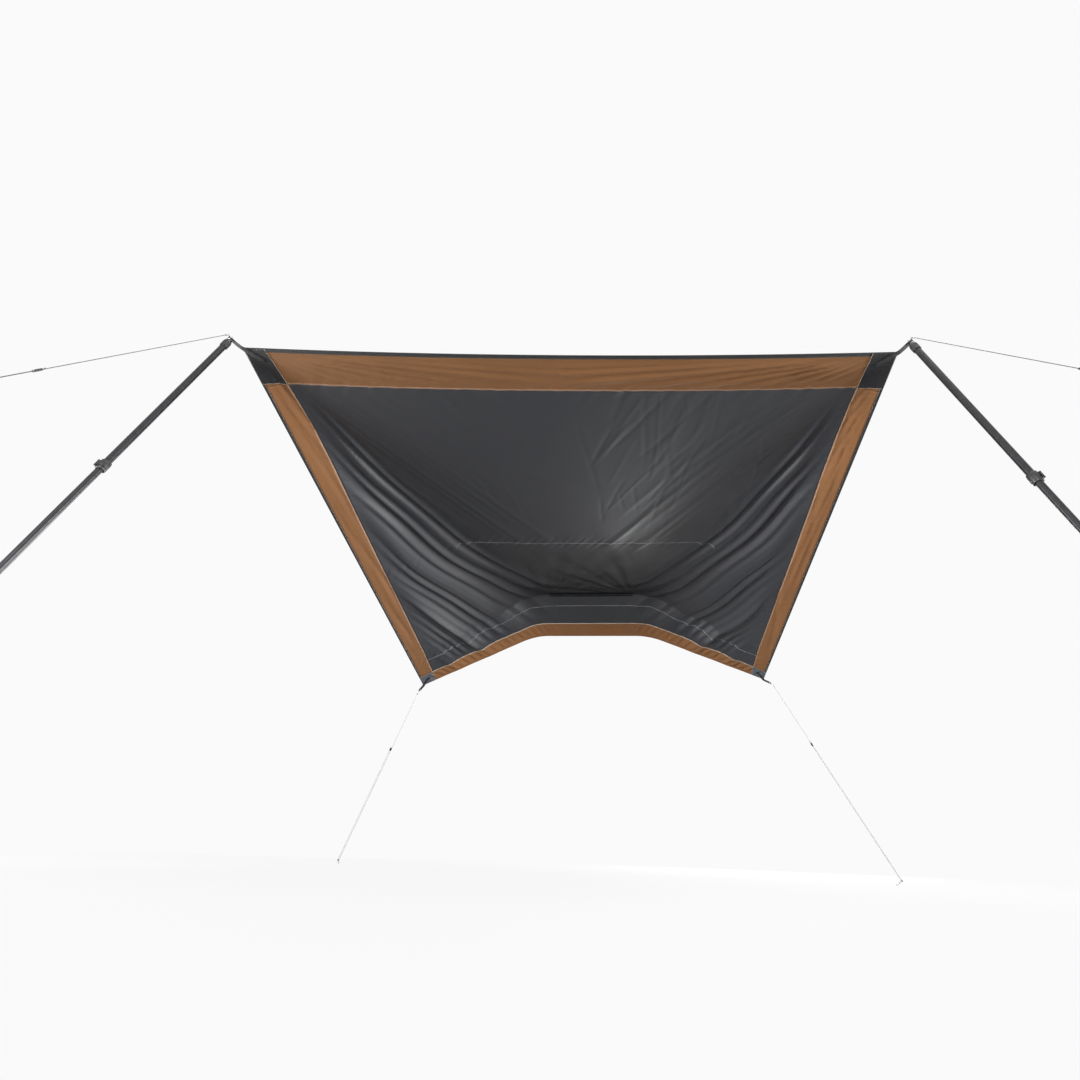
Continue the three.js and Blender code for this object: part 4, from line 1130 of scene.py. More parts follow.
@dataclass(frozen=True)
class Studio:
    """The camera at the picture's viewing angle, with a pale floor and soft light."""

    focal_px: float = 582.6
    frame_px: float = 1080.0
    middle_px: Span = (573.0, 556.0)
    eye: tuple[float, float, float] = (0.365, -5.856, -2.519)
    yaw: float = math.radians(5.61)
    pitch: float = math.radians(27.13)
    roll: float = math.radians(1.85)
    sensor: float = 36.0
    clip: Span = (0.02, 400.0)
    floor_height: float = -2.686
    floor_size: float = 120.0
    floor_fade: Span = (4.5, 8.5)
    floor_near: float = 0.9
    floor_light: Colour = (0.17, 0.17, 0.17)
    floor_shaded: Colour = (0.5, 0.5, 0.5)
    backdrop: Colour = (0.955, 0.955, 0.955)
    sky: Colour = (0.95, 0.97, 1.0)
    sky_strength: float = 0.13

    def camera(self) -> None:
        """Makes the camera and sets it for the scene."""
        data = bpy.data.cameras.new("camera")
        data.sensor_width = self.sensor
        data.lens = self.focal_px / self.frame_px * self.sensor
        data.shift_x = (self.frame_px / 2 - self.middle_px[0]) / self.frame_px
        data.shift_y = (self.middle_px[1] - self.frame_px / 2) / self.frame_px
        data.clip_start, data.clip_end = self.clip
        level = math.cos(self.pitch)
        ahead = Vector((-math.sin(self.yaw) * level, math.cos(self.yaw) * level,
                        math.sin(self.pitch)))
        right = Vector((math.cos(self.yaw), math.sin(self.yaw), 0))
        above = right.cross(ahead)
        turned_right = right * math.cos(self.roll) + above * math.sin(self.roll)
        turned_above = above * math.cos(self.roll) - right * math.sin(self.roll)
        made = linked("camera", data)
        turn = Matrix((turned_right, turned_above, -ahead)).transposed()
        made.matrix_world = Matrix.Translation(self.eye) @ turn.to_4x4()
        bpy.context.scene.camera = made

    def floor(self) -> None:
        """A wide pale floor that looks like the backdrop to the camera, with soft shadows."""
        corners = [(x * self.floor_size / 2, y * self.floor_size / 2, self.floor_height)
                   for x, y in ((-1, -1), (1, -1), (1, 1), (-1, 1))]
        made = mesh_object("floor", np.array(corners), [range(4)], smooth_count=0)
        material = bpy.data.materials.new("floor")
        material.use_nodes = True
        tree = Tree(material.node_tree)
        seen = tree.add("LightPath").outputs["Is Camera Ray"]
        glow = tree.add("Emission", {"Color": self.backdrop, "Strength": 1})
        tone = tree.mix(seen, self.floor_light, self.floor_shaded)
        plain = tree.feed(tree["Principled BSDF"], {"Roughness": 0.9, "Base Color": tone})
        distance = tree.operate("VectorMath", "LENGTH", {0: tree.add("TexCoord").outputs["Object"]})
        fade = tree.add("MapRange", {
            "Value": distance.outputs["Value"], "From Min": self.floor_fade[0],
            "From Max": self.floor_fade[1], "To Min": self.floor_near, "To Max": 1.0})
        share = tree.math("MULTIPLY", seen, fade.outputs["Result"])
        tree.feed(tree["Material Output"], {"Surface": tree.mix_shaders(share, plain, glow)})
        made.data.materials.append(material)

    def world(self) -> None:
        """An even pale world, white to the camera."""
        made = bpy.data.worlds.new("studio")
        bpy.context.scene.world = made
        made.use_nodes = True
        tree = Tree(made.node_tree)
        paths = tree.add("LightPath").outputs
        clear = tree.math("MAXIMUM", paths["Is Glossy Ray"], paths["Is Transmission Ray"])
        seen = tree.math("MAXIMUM", paths["Is Camera Ray"], clear)
        light = tree.feed(tree["Background"], {"Color": self.sky, "Strength": self.sky_strength})
        backdrop = tree.add("Background", {"Color": self.backdrop, "Strength": 1})
        tree.feed(tree["World Output"], {"Surface": tree.mix_shaders(seen, light, backdrop)})

    def build(self) -> None:
        """Makes the whole studio."""
        self.camera()
        self.world()
        self.floor()
        for lamp in LAMPS:
            lamp.build()
        bpy.context.scene.view_settings.view_transform = "Standard"


# Corners, poles and guylines


def on_cut(side: Side, end: End, from_side: Array | float = 0.0,
           from_edge: Array | float = 0.0) -> tuple[Array, Array]:
    """A place on the cut at distances from one side and from one end of the cloth."""
    b = from_edge if end is End.FRONT else CLOTH.length - from_edge
    return side.value * (CLOTH.half_width - np.asarray(from_side)), np.asarray(b)


@dataclass(frozen=True)
class Line:
    """A guyline's run: its start, directions and length, and how its hook's eye lies."""

    start: Array
    x: Array
    y: Array
    z: Array
    length: float
    eye: Array
    out: Array
    facing: Array

    def at(self, along: Array | float, aside: Array | float = 0.0) -> Array:
        """Places along the line and beside it."""
        return self.start + self.x * along + self.y * aside


@dataclass(frozen=True)
class Pitch:
    """Where the corners, poles and guylines stand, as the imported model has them."""

    ground: float = -2.68
    pole_out: float = 0.5
    pole_forward: float = 0.55
    front_peg_out: float = 0.5
    front_peg_forward: float = 2.08
    rear_peg_out: float = 1.1
    rear_peg_back: float = 0.7
    rear_peg_skew: float = -0.45
    peg_eye: float = 0.03
    tab_reach: float = 0.072
    tab_inside: float = 0.13
    tab_thick: float = 0.003
    lip: float = 0.001
    gap: float = 0.0003
    eyelet_bore: float = 0.0055
    wire: float = 0.002
    hook_eye: float = 0.0096
    hook_shank: float = 0.02
    normal_step: float = 0.012

    def plain_point(self, a: Array, b: Array) -> Array:
        """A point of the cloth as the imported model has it, with its main pleats only."""
        point, share = CLOTH.plain(a, b)
        point[..., 2] += CLOTH.main_folds(a, b, share)
        return point

    def corner(self, side: Side, end: End) -> Array:
        """Where a corner of the cloth is."""
        return self.plain_point(*on_cut(side, end))

    def peg(self, side: Side, end: End) -> Array:
        """Where the guyline meets its peg."""
        out, forward = self.front_peg_out, self.front_peg_forward
        if end is End.REAR:
            out = self.rear_peg_out
            forward = -(self.rear_peg_back + side.value * self.rear_peg_skew)
        x, y, _ = self.corner(side, end)
        return np.array([x + side.value * out, y - forward, self.ground + self.peg_eye])

    def pole_up(self, side: Side) -> Array:
        """The direction up along a pole."""
        height = self.corner(side, End.FRONT)[2] - self.ground
        return unit(np.array([-side.value * self.pole_out, self.pole_forward, height]))

    def tab(self, side: Side, end: End) -> Matrix:
        """The frame of a corner's tab: X outward along it, Z the axis of its eyelet."""
        corner = self.corner(side, end)
        if end is End.FRONT:
            axis = self.pole_up(side)
            guide = unit(np.array([side.value, -1.0, 0.0]))
        else:
            middle = on_cut(side, end, self.tab_inside / 2, self.tab_inside / 2)
            axis = surface_normal(self.plain_point, *middle, self.normal_step)
            guide = unit(self.peg(side, end) - corner)
        x = unit(guide - axis * (guide @ axis))
        return placed(x, np.cross(axis, x), axis, corner + x * self.tab_reach)

    def line(self, side: Side, end: End) -> Line:
        """The run of a guyline from its hook to its peg."""
        _, _, axis, eyelet = axes(self.tab(side, end))
        peg = self.peg(side, end)
        pull = peg - eyelet
        out = unit(pull - axis * (pull @ axis))
        lip = self.tab_thick / 2 + self.gap + self.lip
        seat = lip + self.gap + self.wire
        hang = self.eyelet_bore - self.gap + math.sqrt((self.hook_eye - self.wire) ** 2 - lip ** 2)
        eye = eyelet + (axis * seat if end is End.FRONT else out * hang)
        start = eye + out * (self.hook_eye + self.hook_shank)
        x = unit(peg - start)
        y = unit(np.cross([0, 0, 1.0], x))
        return Line(start, x, y, np.cross(x, y), float(np.linalg.norm(peg - start)), eye, out,
                    axis if end is End.FRONT else np.cross(axis, out))


PITCH = Pitch()


@dataclass(frozen=True)
class CornerPart:
    """What belongs to one corner of the cloth."""

    side: Side
    end: End

    @property
    def label(self) -> str:
        """The corner's words in the names of pieces."""
        return f"{self.end.value}_{self.side.label}"


@dataclass(frozen=True)
class Guyline(CornerPart):
    """A guyline's cord, which runs through its runner, round its peg and back."""

    radius: float = 0.00175
    turn: float = 0.00655
    runner_share: float = 0.33
    runner_length: float = 0.034
    tail: float = 0.01
    first: float = 0.0123
    peg_clear: float = 0.012
    bore: float = 0.00225

    @property
    def line(self) -> Line:
        """The guyline's run."""
        return PITCH.line(self.side, self.end)

    def route(self) -> Array:
        """The cord's centreline: down to the peg, round it and back to the runner."""
        line, turns = self.line, np.linspace(-math.pi / 2, math.pi / 2, 9)
        tail = line.length * self.runner_share - self.runner_length / 2 - self.tail
        straight = line.length - self.peg_clear
        along = np.concatenate([np.linspace(self.first, straight, 26),
                                line.length + self.turn * np.cos(turns),
                                np.linspace(straight, tail, 16)])
        aside = np.concatenate([np.zeros(26), self.turn + self.turn * np.sin(turns),
                                np.full(16, self.turn * 2)])
        return line.at(along[:, None], aside[:, None])

    def hook(self) -> Piece:
        """A wire eye and shank that end in a crimped ferrule."""
        line, turns = self.line, round_turns(40)[:, None]
        across = np.cross(line.facing, line.out)
        eye = line.eye + PITCH.hook_eye * (np.cos(turns) * line.out + np.sin(turns) * across)
        root, tip = line.eye + line.out * PITCH.hook_eye, line.at(0.006)
        share = np.linspace(0, 1, 14)[:, None]
        shank = ((1 - share) ** 2 * root + 2 * share * (1 - share) * line.start + share ** 2 * tip)
        wide, waist = 0.0046, 0.0040
        ferrule = [(0, 0), (0.0035, 0), (wide, 0.0012), (wide, 0.006), (waist, 0.0068),
                   (waist, 0.0085), (wide, 0.0093), (wide, 0.0150), (waist, 0.0158),
                   (waist, 0.0175), (wide, 0.0183), (wide, 0.0250), (waist, 0.026),
                   (self.bore, 0.026), (self.bore, 0.012), (0, 0.012)]
        form = Form().pipe(eye, PITCH.wire, 12, looped=True).pipe(shank, PITCH.wire, 12)
        form.turned(ferrule, placed(line.z, line.x, line.y, line.start), 24)
        return form.done(f"hook_{self.label}")

    def runner(self) -> Piece:
        """A slider with two round cord channels and a web between them."""
        line, half = self.line, self.runner_length / 2
        channel = mirrored([(self.bore, -half), (0.0042, -half), (0.0048, 0.0007 - half)])
        channel.append(channel[0])
        form = Form()
        left, middle, right = (
            placed(line.y, line.x, -line.z, line.at(line.length * self.runner_share, aside))
            for aside in (0, self.turn, self.turn * 2))
        form.turned(channel, left, 28).turned(channel, right, 28)
        form.block(self.turn * 2 - 0.0062, self.runner_length - 0.004, 0.0058, middle)
        for step in range(-3, 4):
            form.block(self.turn * 2 - 0.0066, 0.0012, 0.0074, middle @ moved(y=step * 0.0036),
                       0.0003)
        return form.done(f"runner_{self.label}")

    def peg(self) -> Piece:
        """A round ground peg with a head and a collar, between which the cord lies."""
        line, shaft = self.line, 0.004
        profile = [(0, -0.270), (0.0006, -0.270), (0.0022, -0.2605), (shaft, -0.248),
                   (shaft, -0.0055), (0.0085, -0.0055), (0.009, -0.005), (0.009, -0.0035),
                   (0.0085, -0.003), (shaft, -0.003), (shaft, 0.003), (0.0085, 0.003),
                   (0.009, 0.0035), (0.009, 0.0058), (0.0082, 0.0067), (0.006, 0.007), (0, 0.007)]
        place = placed(line.y, line.z, line.x, line.at(line.length, self.turn))
        return Form().turned(profile, place, 32).done(f"peg_{self.label}")

    def knot(self, route: Array) -> Piece:
        """An overhand knot that stops the cord's free end in the runner."""
        turns = round_turns(60)
        loop = np.stack([np.sin(turns) + 2 * np.sin(2 * turns),
                         np.cos(turns) - 2 * np.cos(2 * turns), -np.sin(3 * turns)], axis=-1)
        middle = route[-1] + unit(route[-1] - route[-2]) * 0.003
        form = Form().pipe(middle + loop * 0.0012, 0.0015, 10, looped=True)
        return form.done(f"knot_{self.label}")

    def build(self, wardrobe: Wardrobe) -> None:
        label, route = self.label, self.route()
        cord = tube_mesh(f"cord_{label}", route, self.radius, 12)
        wardrobe.dress(cord, GREY_CORD if self.end is End.FRONT else PALE_CORD,
                       f"guyline_cord_{label}")
        hook, runner, peg, knot = self.hook(), self.runner(), self.peg(), self.knot(route)
        wardrobe.dress(hook, STEEL, f"guyline_hook_{label}")
        wardrobe.dress(runner, PLASTIC, f"guyline_runner_{label}", body=f"runner_{label}")
        wardrobe.dress(peg, STEEL, f"ground_peg_{label}")
        wardrobe.dress(knot, CORD_KNOT)


@dataclass(frozen=True)
class Pole:
    """A telescopic pole: head with its pin, three tubes, two clamps with levers and a foot."""

    side: Side
    radii: tuple[float, float, float] = (0.0175, 0.0155, 0.0135)
    wall: float = 0.0012
    gap: float = 0.0003
    section_share: float = 0.403
    overlap: float = 0.110
    plug: float = 0.032
    foot_floor: float = 0.009
    collar_half: float = 0.028
    collar_wall: float = 0.0055
    lug: float = 0.006
    lever_height: float = 0.026
    lever_thick: float = 0.0036
    lever_lift: float = 0.0008
    lever_eye: float = 0.0048
    lever_bore: float = 0.0023
    lever_sweep: float = math.radians(128)
    tip_sweep: float = math.radians(14)
    tip_flare: float = 0.0032
    slot_turn: float = math.radians(-26)
    slot: float = 0.003
    pin_neck: float = 0.004
    ball: float = 0.0052

    @property
    def place(self) -> Matrix:
        """The pole's frame: Y runs up it and its origin is the eyelet."""
        x, _, _, eyelet = axes(PITCH.tab(self.side, End.FRONT))
        up = PITCH.pole_up(self.side)
        return placed(x, up, np.cross(x, up), eyelet)

    @property
    def length(self) -> float:
        """The distance along the pole from its eyelet to the ground."""
        place = self.place
        return (place[2][3] - PITCH.ground) / place[2][1]

    def piece(self, form: Form, name: str) -> Piece:
        """The finished form, named for the pole's side."""
        return form.done(f"{name}_{self.side.label}")

    def head(self) -> Piece:
        """The fluted plastic head."""
        grip = [(0, -0.0068), (0.0080, -0.0068), (0.0100, -0.0074), (0.0140, -0.0120),
                (0.0170, -0.0200), (0.0198, -0.0290), (0.0214, -0.0350),
                *((0.0220, -y / 1000) for y in range(40, 74, 3)), (0.0217, -0.0765),
                (0.0212, -0.0790), (0.0206, -0.0800), (0.0179, -0.0800), (0.0179, -0.0323),
                (0, -0.0323)]
        return self.piece(Form().turned(grip, self.place, 96,
                                        Flutes(16, 0.0014, -0.0740, -0.0380)), "head")

    def pin(self) -> Piece:
        """The steel pin with its ball, on which the head hangs in the eyelet."""
        neck, end = self.pin_neck, math.acos(self.pin_neck / self.ball)
        ball = [(self.ball * math.cos(t), self.ball * math.sin(t))
                for t in np.linspace(end, -end, 9)]
        profile = [(0, 0.026), (0.0024, 0.026), (0.0034, 0.0255), (neck, 0.0242), *ball,
                   (neck, -0.0075), (0, -0.0075)]
        return self.piece(Form().turned(profile, self.place, 32), "head_pin")

    def tube(self, name: str, radius: float, low: float, high: float) -> Piece:
        """A drawn tube with eased ends."""
        inner, ease = radius - self.wall, 0.0004
        profile = [(inner, low), (radius - ease, low), (radius, low + ease),
                   (radius, high - ease), (radius - ease, high), (inner, high), (inner, low)]
        return self.piece(Form().turned(profile, self.place, 64), f"{name}_tube")

    def collar(self, name: str, outer_tube: float, inner_tube: float, place: Matrix) -> Piece:
        """A split clamp: its upper half grips the outer tube, its lower half closes."""
        outer, half = outer_tube + self.collar_wall, self.collar_half
        top, low = outer_tube + self.gap, inner_tube + self.gap
        eased = [(outer, 0), (outer, half - 0.0024), (outer - 0.0006, half - 0.0008),
                 (outer - 0.0022, half)]
        form = Form().turned([(top, 0), *eased, (top, half), (top, 0)], place, 72)
        lower = [(low, -half), *((radius, -height) for radius, height in eased[::-1]), (low, 0)]
        open_half = self.slot / 2 / outer
        form.part_turn(lower, self.slot_turn + open_half, 2 * math.pi - 2 * open_half, place, 72)
        pivot = outer + self.lever_eye + self.lever_lift
        inner = outer - self.collar_wall / 2
        reach = pivot + self.lever_eye - inner
        level = self.lever_height / 2 + self.gap + self.lug / 2
        for y in (-level, level):
            form.block(reach, self.lug, 0.010, place @ moved(inner + reach / 2, y), 0.0014)
        tall = level + self.lug / 2 + 0.0006
        pin = mirrored([(0, -tall), (0.0026, -tall), (0.0030, 0.0005 - tall),
                        (0.0030, 0.0009 - tall), (0.002, 0.0012 - tall)])
        form.turned(pin, place @ moved(pivot), 20)
        for turn in np.radians(np.arange(170, 310, 11.0)):
            rib = place @ (Matrix.Rotation(turn, 4, "Y") @ moved(outer))
            form.block(0.0016, half * 1.45, 0.0015, rib, 0.0004)
        return self.piece(form, f"{name}_collar")

    def lever(self, name: str, outer_tube: float, place: Matrix) -> Piece:
        """A clamp lever that lies round its collar, with an eye on the collar's pin."""
        outer = outer_tube + self.collar_wall
        inner = outer + self.lever_lift
        pivot, half = inner + self.lever_eye, self.lever_height / 2
        eye = mirrored([(self.lever_bore, -half), (self.lever_eye - 0.0005, -half),
                        (self.lever_eye, 0.0005 - half)])
        form = Form().turned([*eye, eye[0]], place @ moved(pivot), 32)
        rings = []
        for turn in np.linspace(0.15, self.lever_sweep + self.tip_sweep, 40):
            past = max(0.0, (turn - self.lever_sweep) / self.tip_sweep)
            thick = self.lever_thick * (1 - 0.3 * past)
            tall = self.lever_height * (1 - 0.22 * past ** 2)
            middle = inner + self.lever_thick / 2 + self.tip_flare * past ** 1.5
            outline = rounded_outline(thick, tall, min(0.0014, thick * 0.4))
            radius = middle + outline[:, 0]
            rings.append(np.stack([radius * math.cos(turn), outline[:, 1],
                                   -radius * math.sin(turn)], axis=-1))
        form.rings(np.array(rings), place)
        for step in range(4):
            turn = self.lever_sweep - 0.05 - step * 0.13
            rib = place @ (Matrix.Rotation(turn, 4, "Y") @ moved(inner + self.lever_thick))
            form.block(0.0012, self.lever_height * 0.7, 0.0014, rib, 0.0003)
        return self.piece(form, f"{name}_lever")

    def foot(self) -> Piece:
        """A rubber foot with a tread and grooves."""
        bore = self.radii[2] + self.gap
        body = bore + 0.0032
        profile = [(0, 0.0008), (0.0120, 0.0008), (0.0126, 0), (0.0190, 0), (0.0212, 0.0008),
                   (0.0220, 0.0028), (0.0220, 0.0095), (0.0205, 0.0130), (body + 0.0004, 0.0180)]
        for step in range(4):
            low = 0.0205 + step * 0.006
            profile += [(body, low), (body - 0.0009, low + 0.0006), (body - 0.0009, low + 0.0020),
                        (body, low + 0.0026)]
        profile += [(body, 0.0445), (body - 0.0012, 0.046), (bore, 0.046),
                    (bore, self.foot_floor), (0, self.foot_floor)]
        sunk = [(radius, height - self.length) for radius, height in profile]
        return self.piece(Form().turned(sunk, self.place, 48), "foot")

    def build(self, wardrobe: Wardrobe) -> None:
        """Makes every piece of the pole."""
        pole = f"pole_{self.side.label}"
        section = -PITCH.ground * self.section_share
        upper_top = -self.plug - self.gap
        upper_end = upper_top - section
        middle_top = upper_end + self.overlap
        middle_end = middle_top - section
        lower_end = self.foot_floor + self.gap - self.length
        wardrobe.dress(self.head(), PLASTIC, f"{pole}_head", body=f"{pole}_upper")
        wardrobe.dress(self.pin(), STEEL, body=f"{pole}_upper")
        tubes = (("upper", upper_end, upper_top), ("middle", middle_end, middle_top),
                 ("lower", lower_end, lower_end + section))
        for (name, low, high), radius in zip(tubes, self.radii):
            wardrobe.dress(self.tube(name, radius, low, high), TUBE, f"{pole}_{name}_tube",
                           body=f"{pole}_{name}")
        clamps = (("upper", "upper", 0, upper_end), ("lower", "middle", 1, middle_end))
        for name, body, size, end in clamps:
            outer, inner = self.radii[size:size + 2]
            place = self.place @ moved(y=end - self.gap)
            wardrobe.dress(self.collar(name, outer, inner, place), PLASTIC,
                           f"{pole}_{name}_collar", body=f"{pole}_{body}")
            wardrobe.dress(self.lever(name, outer, place), PLASTIC, f"{pole}_{name}_lever",
                           body=f"{pole}_{name}_lever")
        wardrobe.dress(self.foot(), RUBBER, f"{pole}_foot", body=f"{pole}_lower")


@dataclass(frozen=True)
class Rail:
    """The keder rail with its end caps, and the beaded edge that slides in it."""

    length: float = 0.9
    front: float = 0.032
    back: float = 0.009
    flange: float = 0.0022
    centre: float = 0.0082
    tube: float = 0.0064
    bore: float = 0.0044
    slot: float = 0.003
    ease: float = 0.0005
    bead: float = 0.0039
    tail: float = 0.001
    tail_top: float = 0.0198
    cap: float = 0.003
    cap_plug: float = 0.012
    cap_lip: float = 0.0006
    gap: float = 0.0003
    hole: float = 0.0026
    hole_pitch: float = 0.2
    hole_front: float = 0.02

    def arc(self, radius: float, start: float, end: float, count: int = 40) -> list:
        """Points of the rail's section on a circle round the keder."""
        return [(radius * math.cos(t), self.centre + radius * math.sin(t))
                for t in np.linspace(start, end, count)]

    def drawn_out(self, name: str, outline: Profile, length: float) -> Piece:
        """A bar with this section, drawn with Y across and Z up, along X about the middle."""
        section = np.array(outline)
        rings = [np.column_stack([np.full(len(section), x), section])
                 for x in np.linspace(-length / 2, length / 2, 7)]
        return Form().rings(np.array(rings)).done(name)

    def rail(self) -> Piece:
        """The rail: a flange to screw down, with a slotted tube for the keder."""
        lip, inner = (math.acos(self.slot / 2 / radius) for radius in (self.tube, self.bore))
        foot = math.asin((self.centre - self.flange) / self.tube)
        front, back, flange, ease = self.front, self.back, self.flange, self.ease
        outline = [(-front, 0), (back - ease, 0), (back, ease), (back, flange - ease),
                   (back - ease, flange), *self.arc(self.tube, -foot, lip),
                   *self.arc(self.bore, inner, -math.pi - inner),
                   *self.arc(self.tube, math.pi - lip, math.pi + foot),
                   (ease - front, flange), (-front, flange - ease)]
        made, holes = self.drawn_out("keder_rail", outline, self.length), Form()
        drill = [(0, -0.001), (self.hole, -0.001), (self.hole, 0.0010),
                 (self.hole + 0.0022, flange + 0.001), (0, flange + 0.001)]
        for step in (-1.5, -0.5, 0.5, 1.5):
            holes.turned(drill, placed((1, 0, 0), (0, 0, 1), (0, -1, 0),
                                       (step * self.hole_pitch, -self.hole_front, 0)), 28)
        return drilled(made, holes.done("rail_holes"))

    def keder(self) -> Piece:
        """The cloth's beaded edge, with a tail that leaves the rail by its slot."""
        foot, half = math.acos(self.tail / 2 / self.bead), self.tail / 2
        outline = [*self.arc(self.bead, foot, -math.pi - foot), (-half, self.tail_top),
                   (half, self.tail_top)]
        length = self.length - (self.cap_plug + self.gap) * 2
        return self.drawn_out("keder", outline[::-1], length)

    def end_cap(self, side: Side) -> Piece:
        """A plug with a lip that closes one end of the rail's tube."""
        rim, plug, gap = self.tube + self.cap_lip, self.bore - self.gap, self.gap
        place = placed((0, 0, 1), (side.value, 0, 0), (0, side.value, 0),
                       (side.value * self.length / 2, 0, self.centre))
        profile = [(0, -self.cap_plug), (plug - 0.001, -self.cap_plug),
                   (plug, 0.001 - self.cap_plug), (plug, gap), (rim - 0.0003, gap),
                   (rim, gap + 0.0003), (rim, gap + 0.0018), (rim - 0.0009, gap + 0.0027),
                   (rim - 0.0026, gap + self.cap), (0, gap + self.cap)]
        return Form().turned(profile, place, 40).done(f"end_cap_{side.label}")

    def build(self, wardrobe: Wardrobe) -> None:
        """Makes the rail, its caps and the keder."""
        wardrobe.dress(self.rail(), RAIL, "rail")
        wardrobe.dress(self.keder(), KEDER, "keder_bead")
        for side in Side:
            wardrobe.dress(self.end_cap(side), PLASTIC, f"rail_cap_{side.label}")


def cloth_layer(name: str, a: Array, b: Array, thickness: float, lift: float = 0.0) -> Piece:
    """A layer of cloth over a grid of places on the cut, lifted off the middle surface."""
    normal = CLOTH.normal(a, b)
    return closed_layer(name, CLOTH.point(a, b) + normal * lift, normal * (thickness / 2),
                        np.stack([a, b], axis=-1))


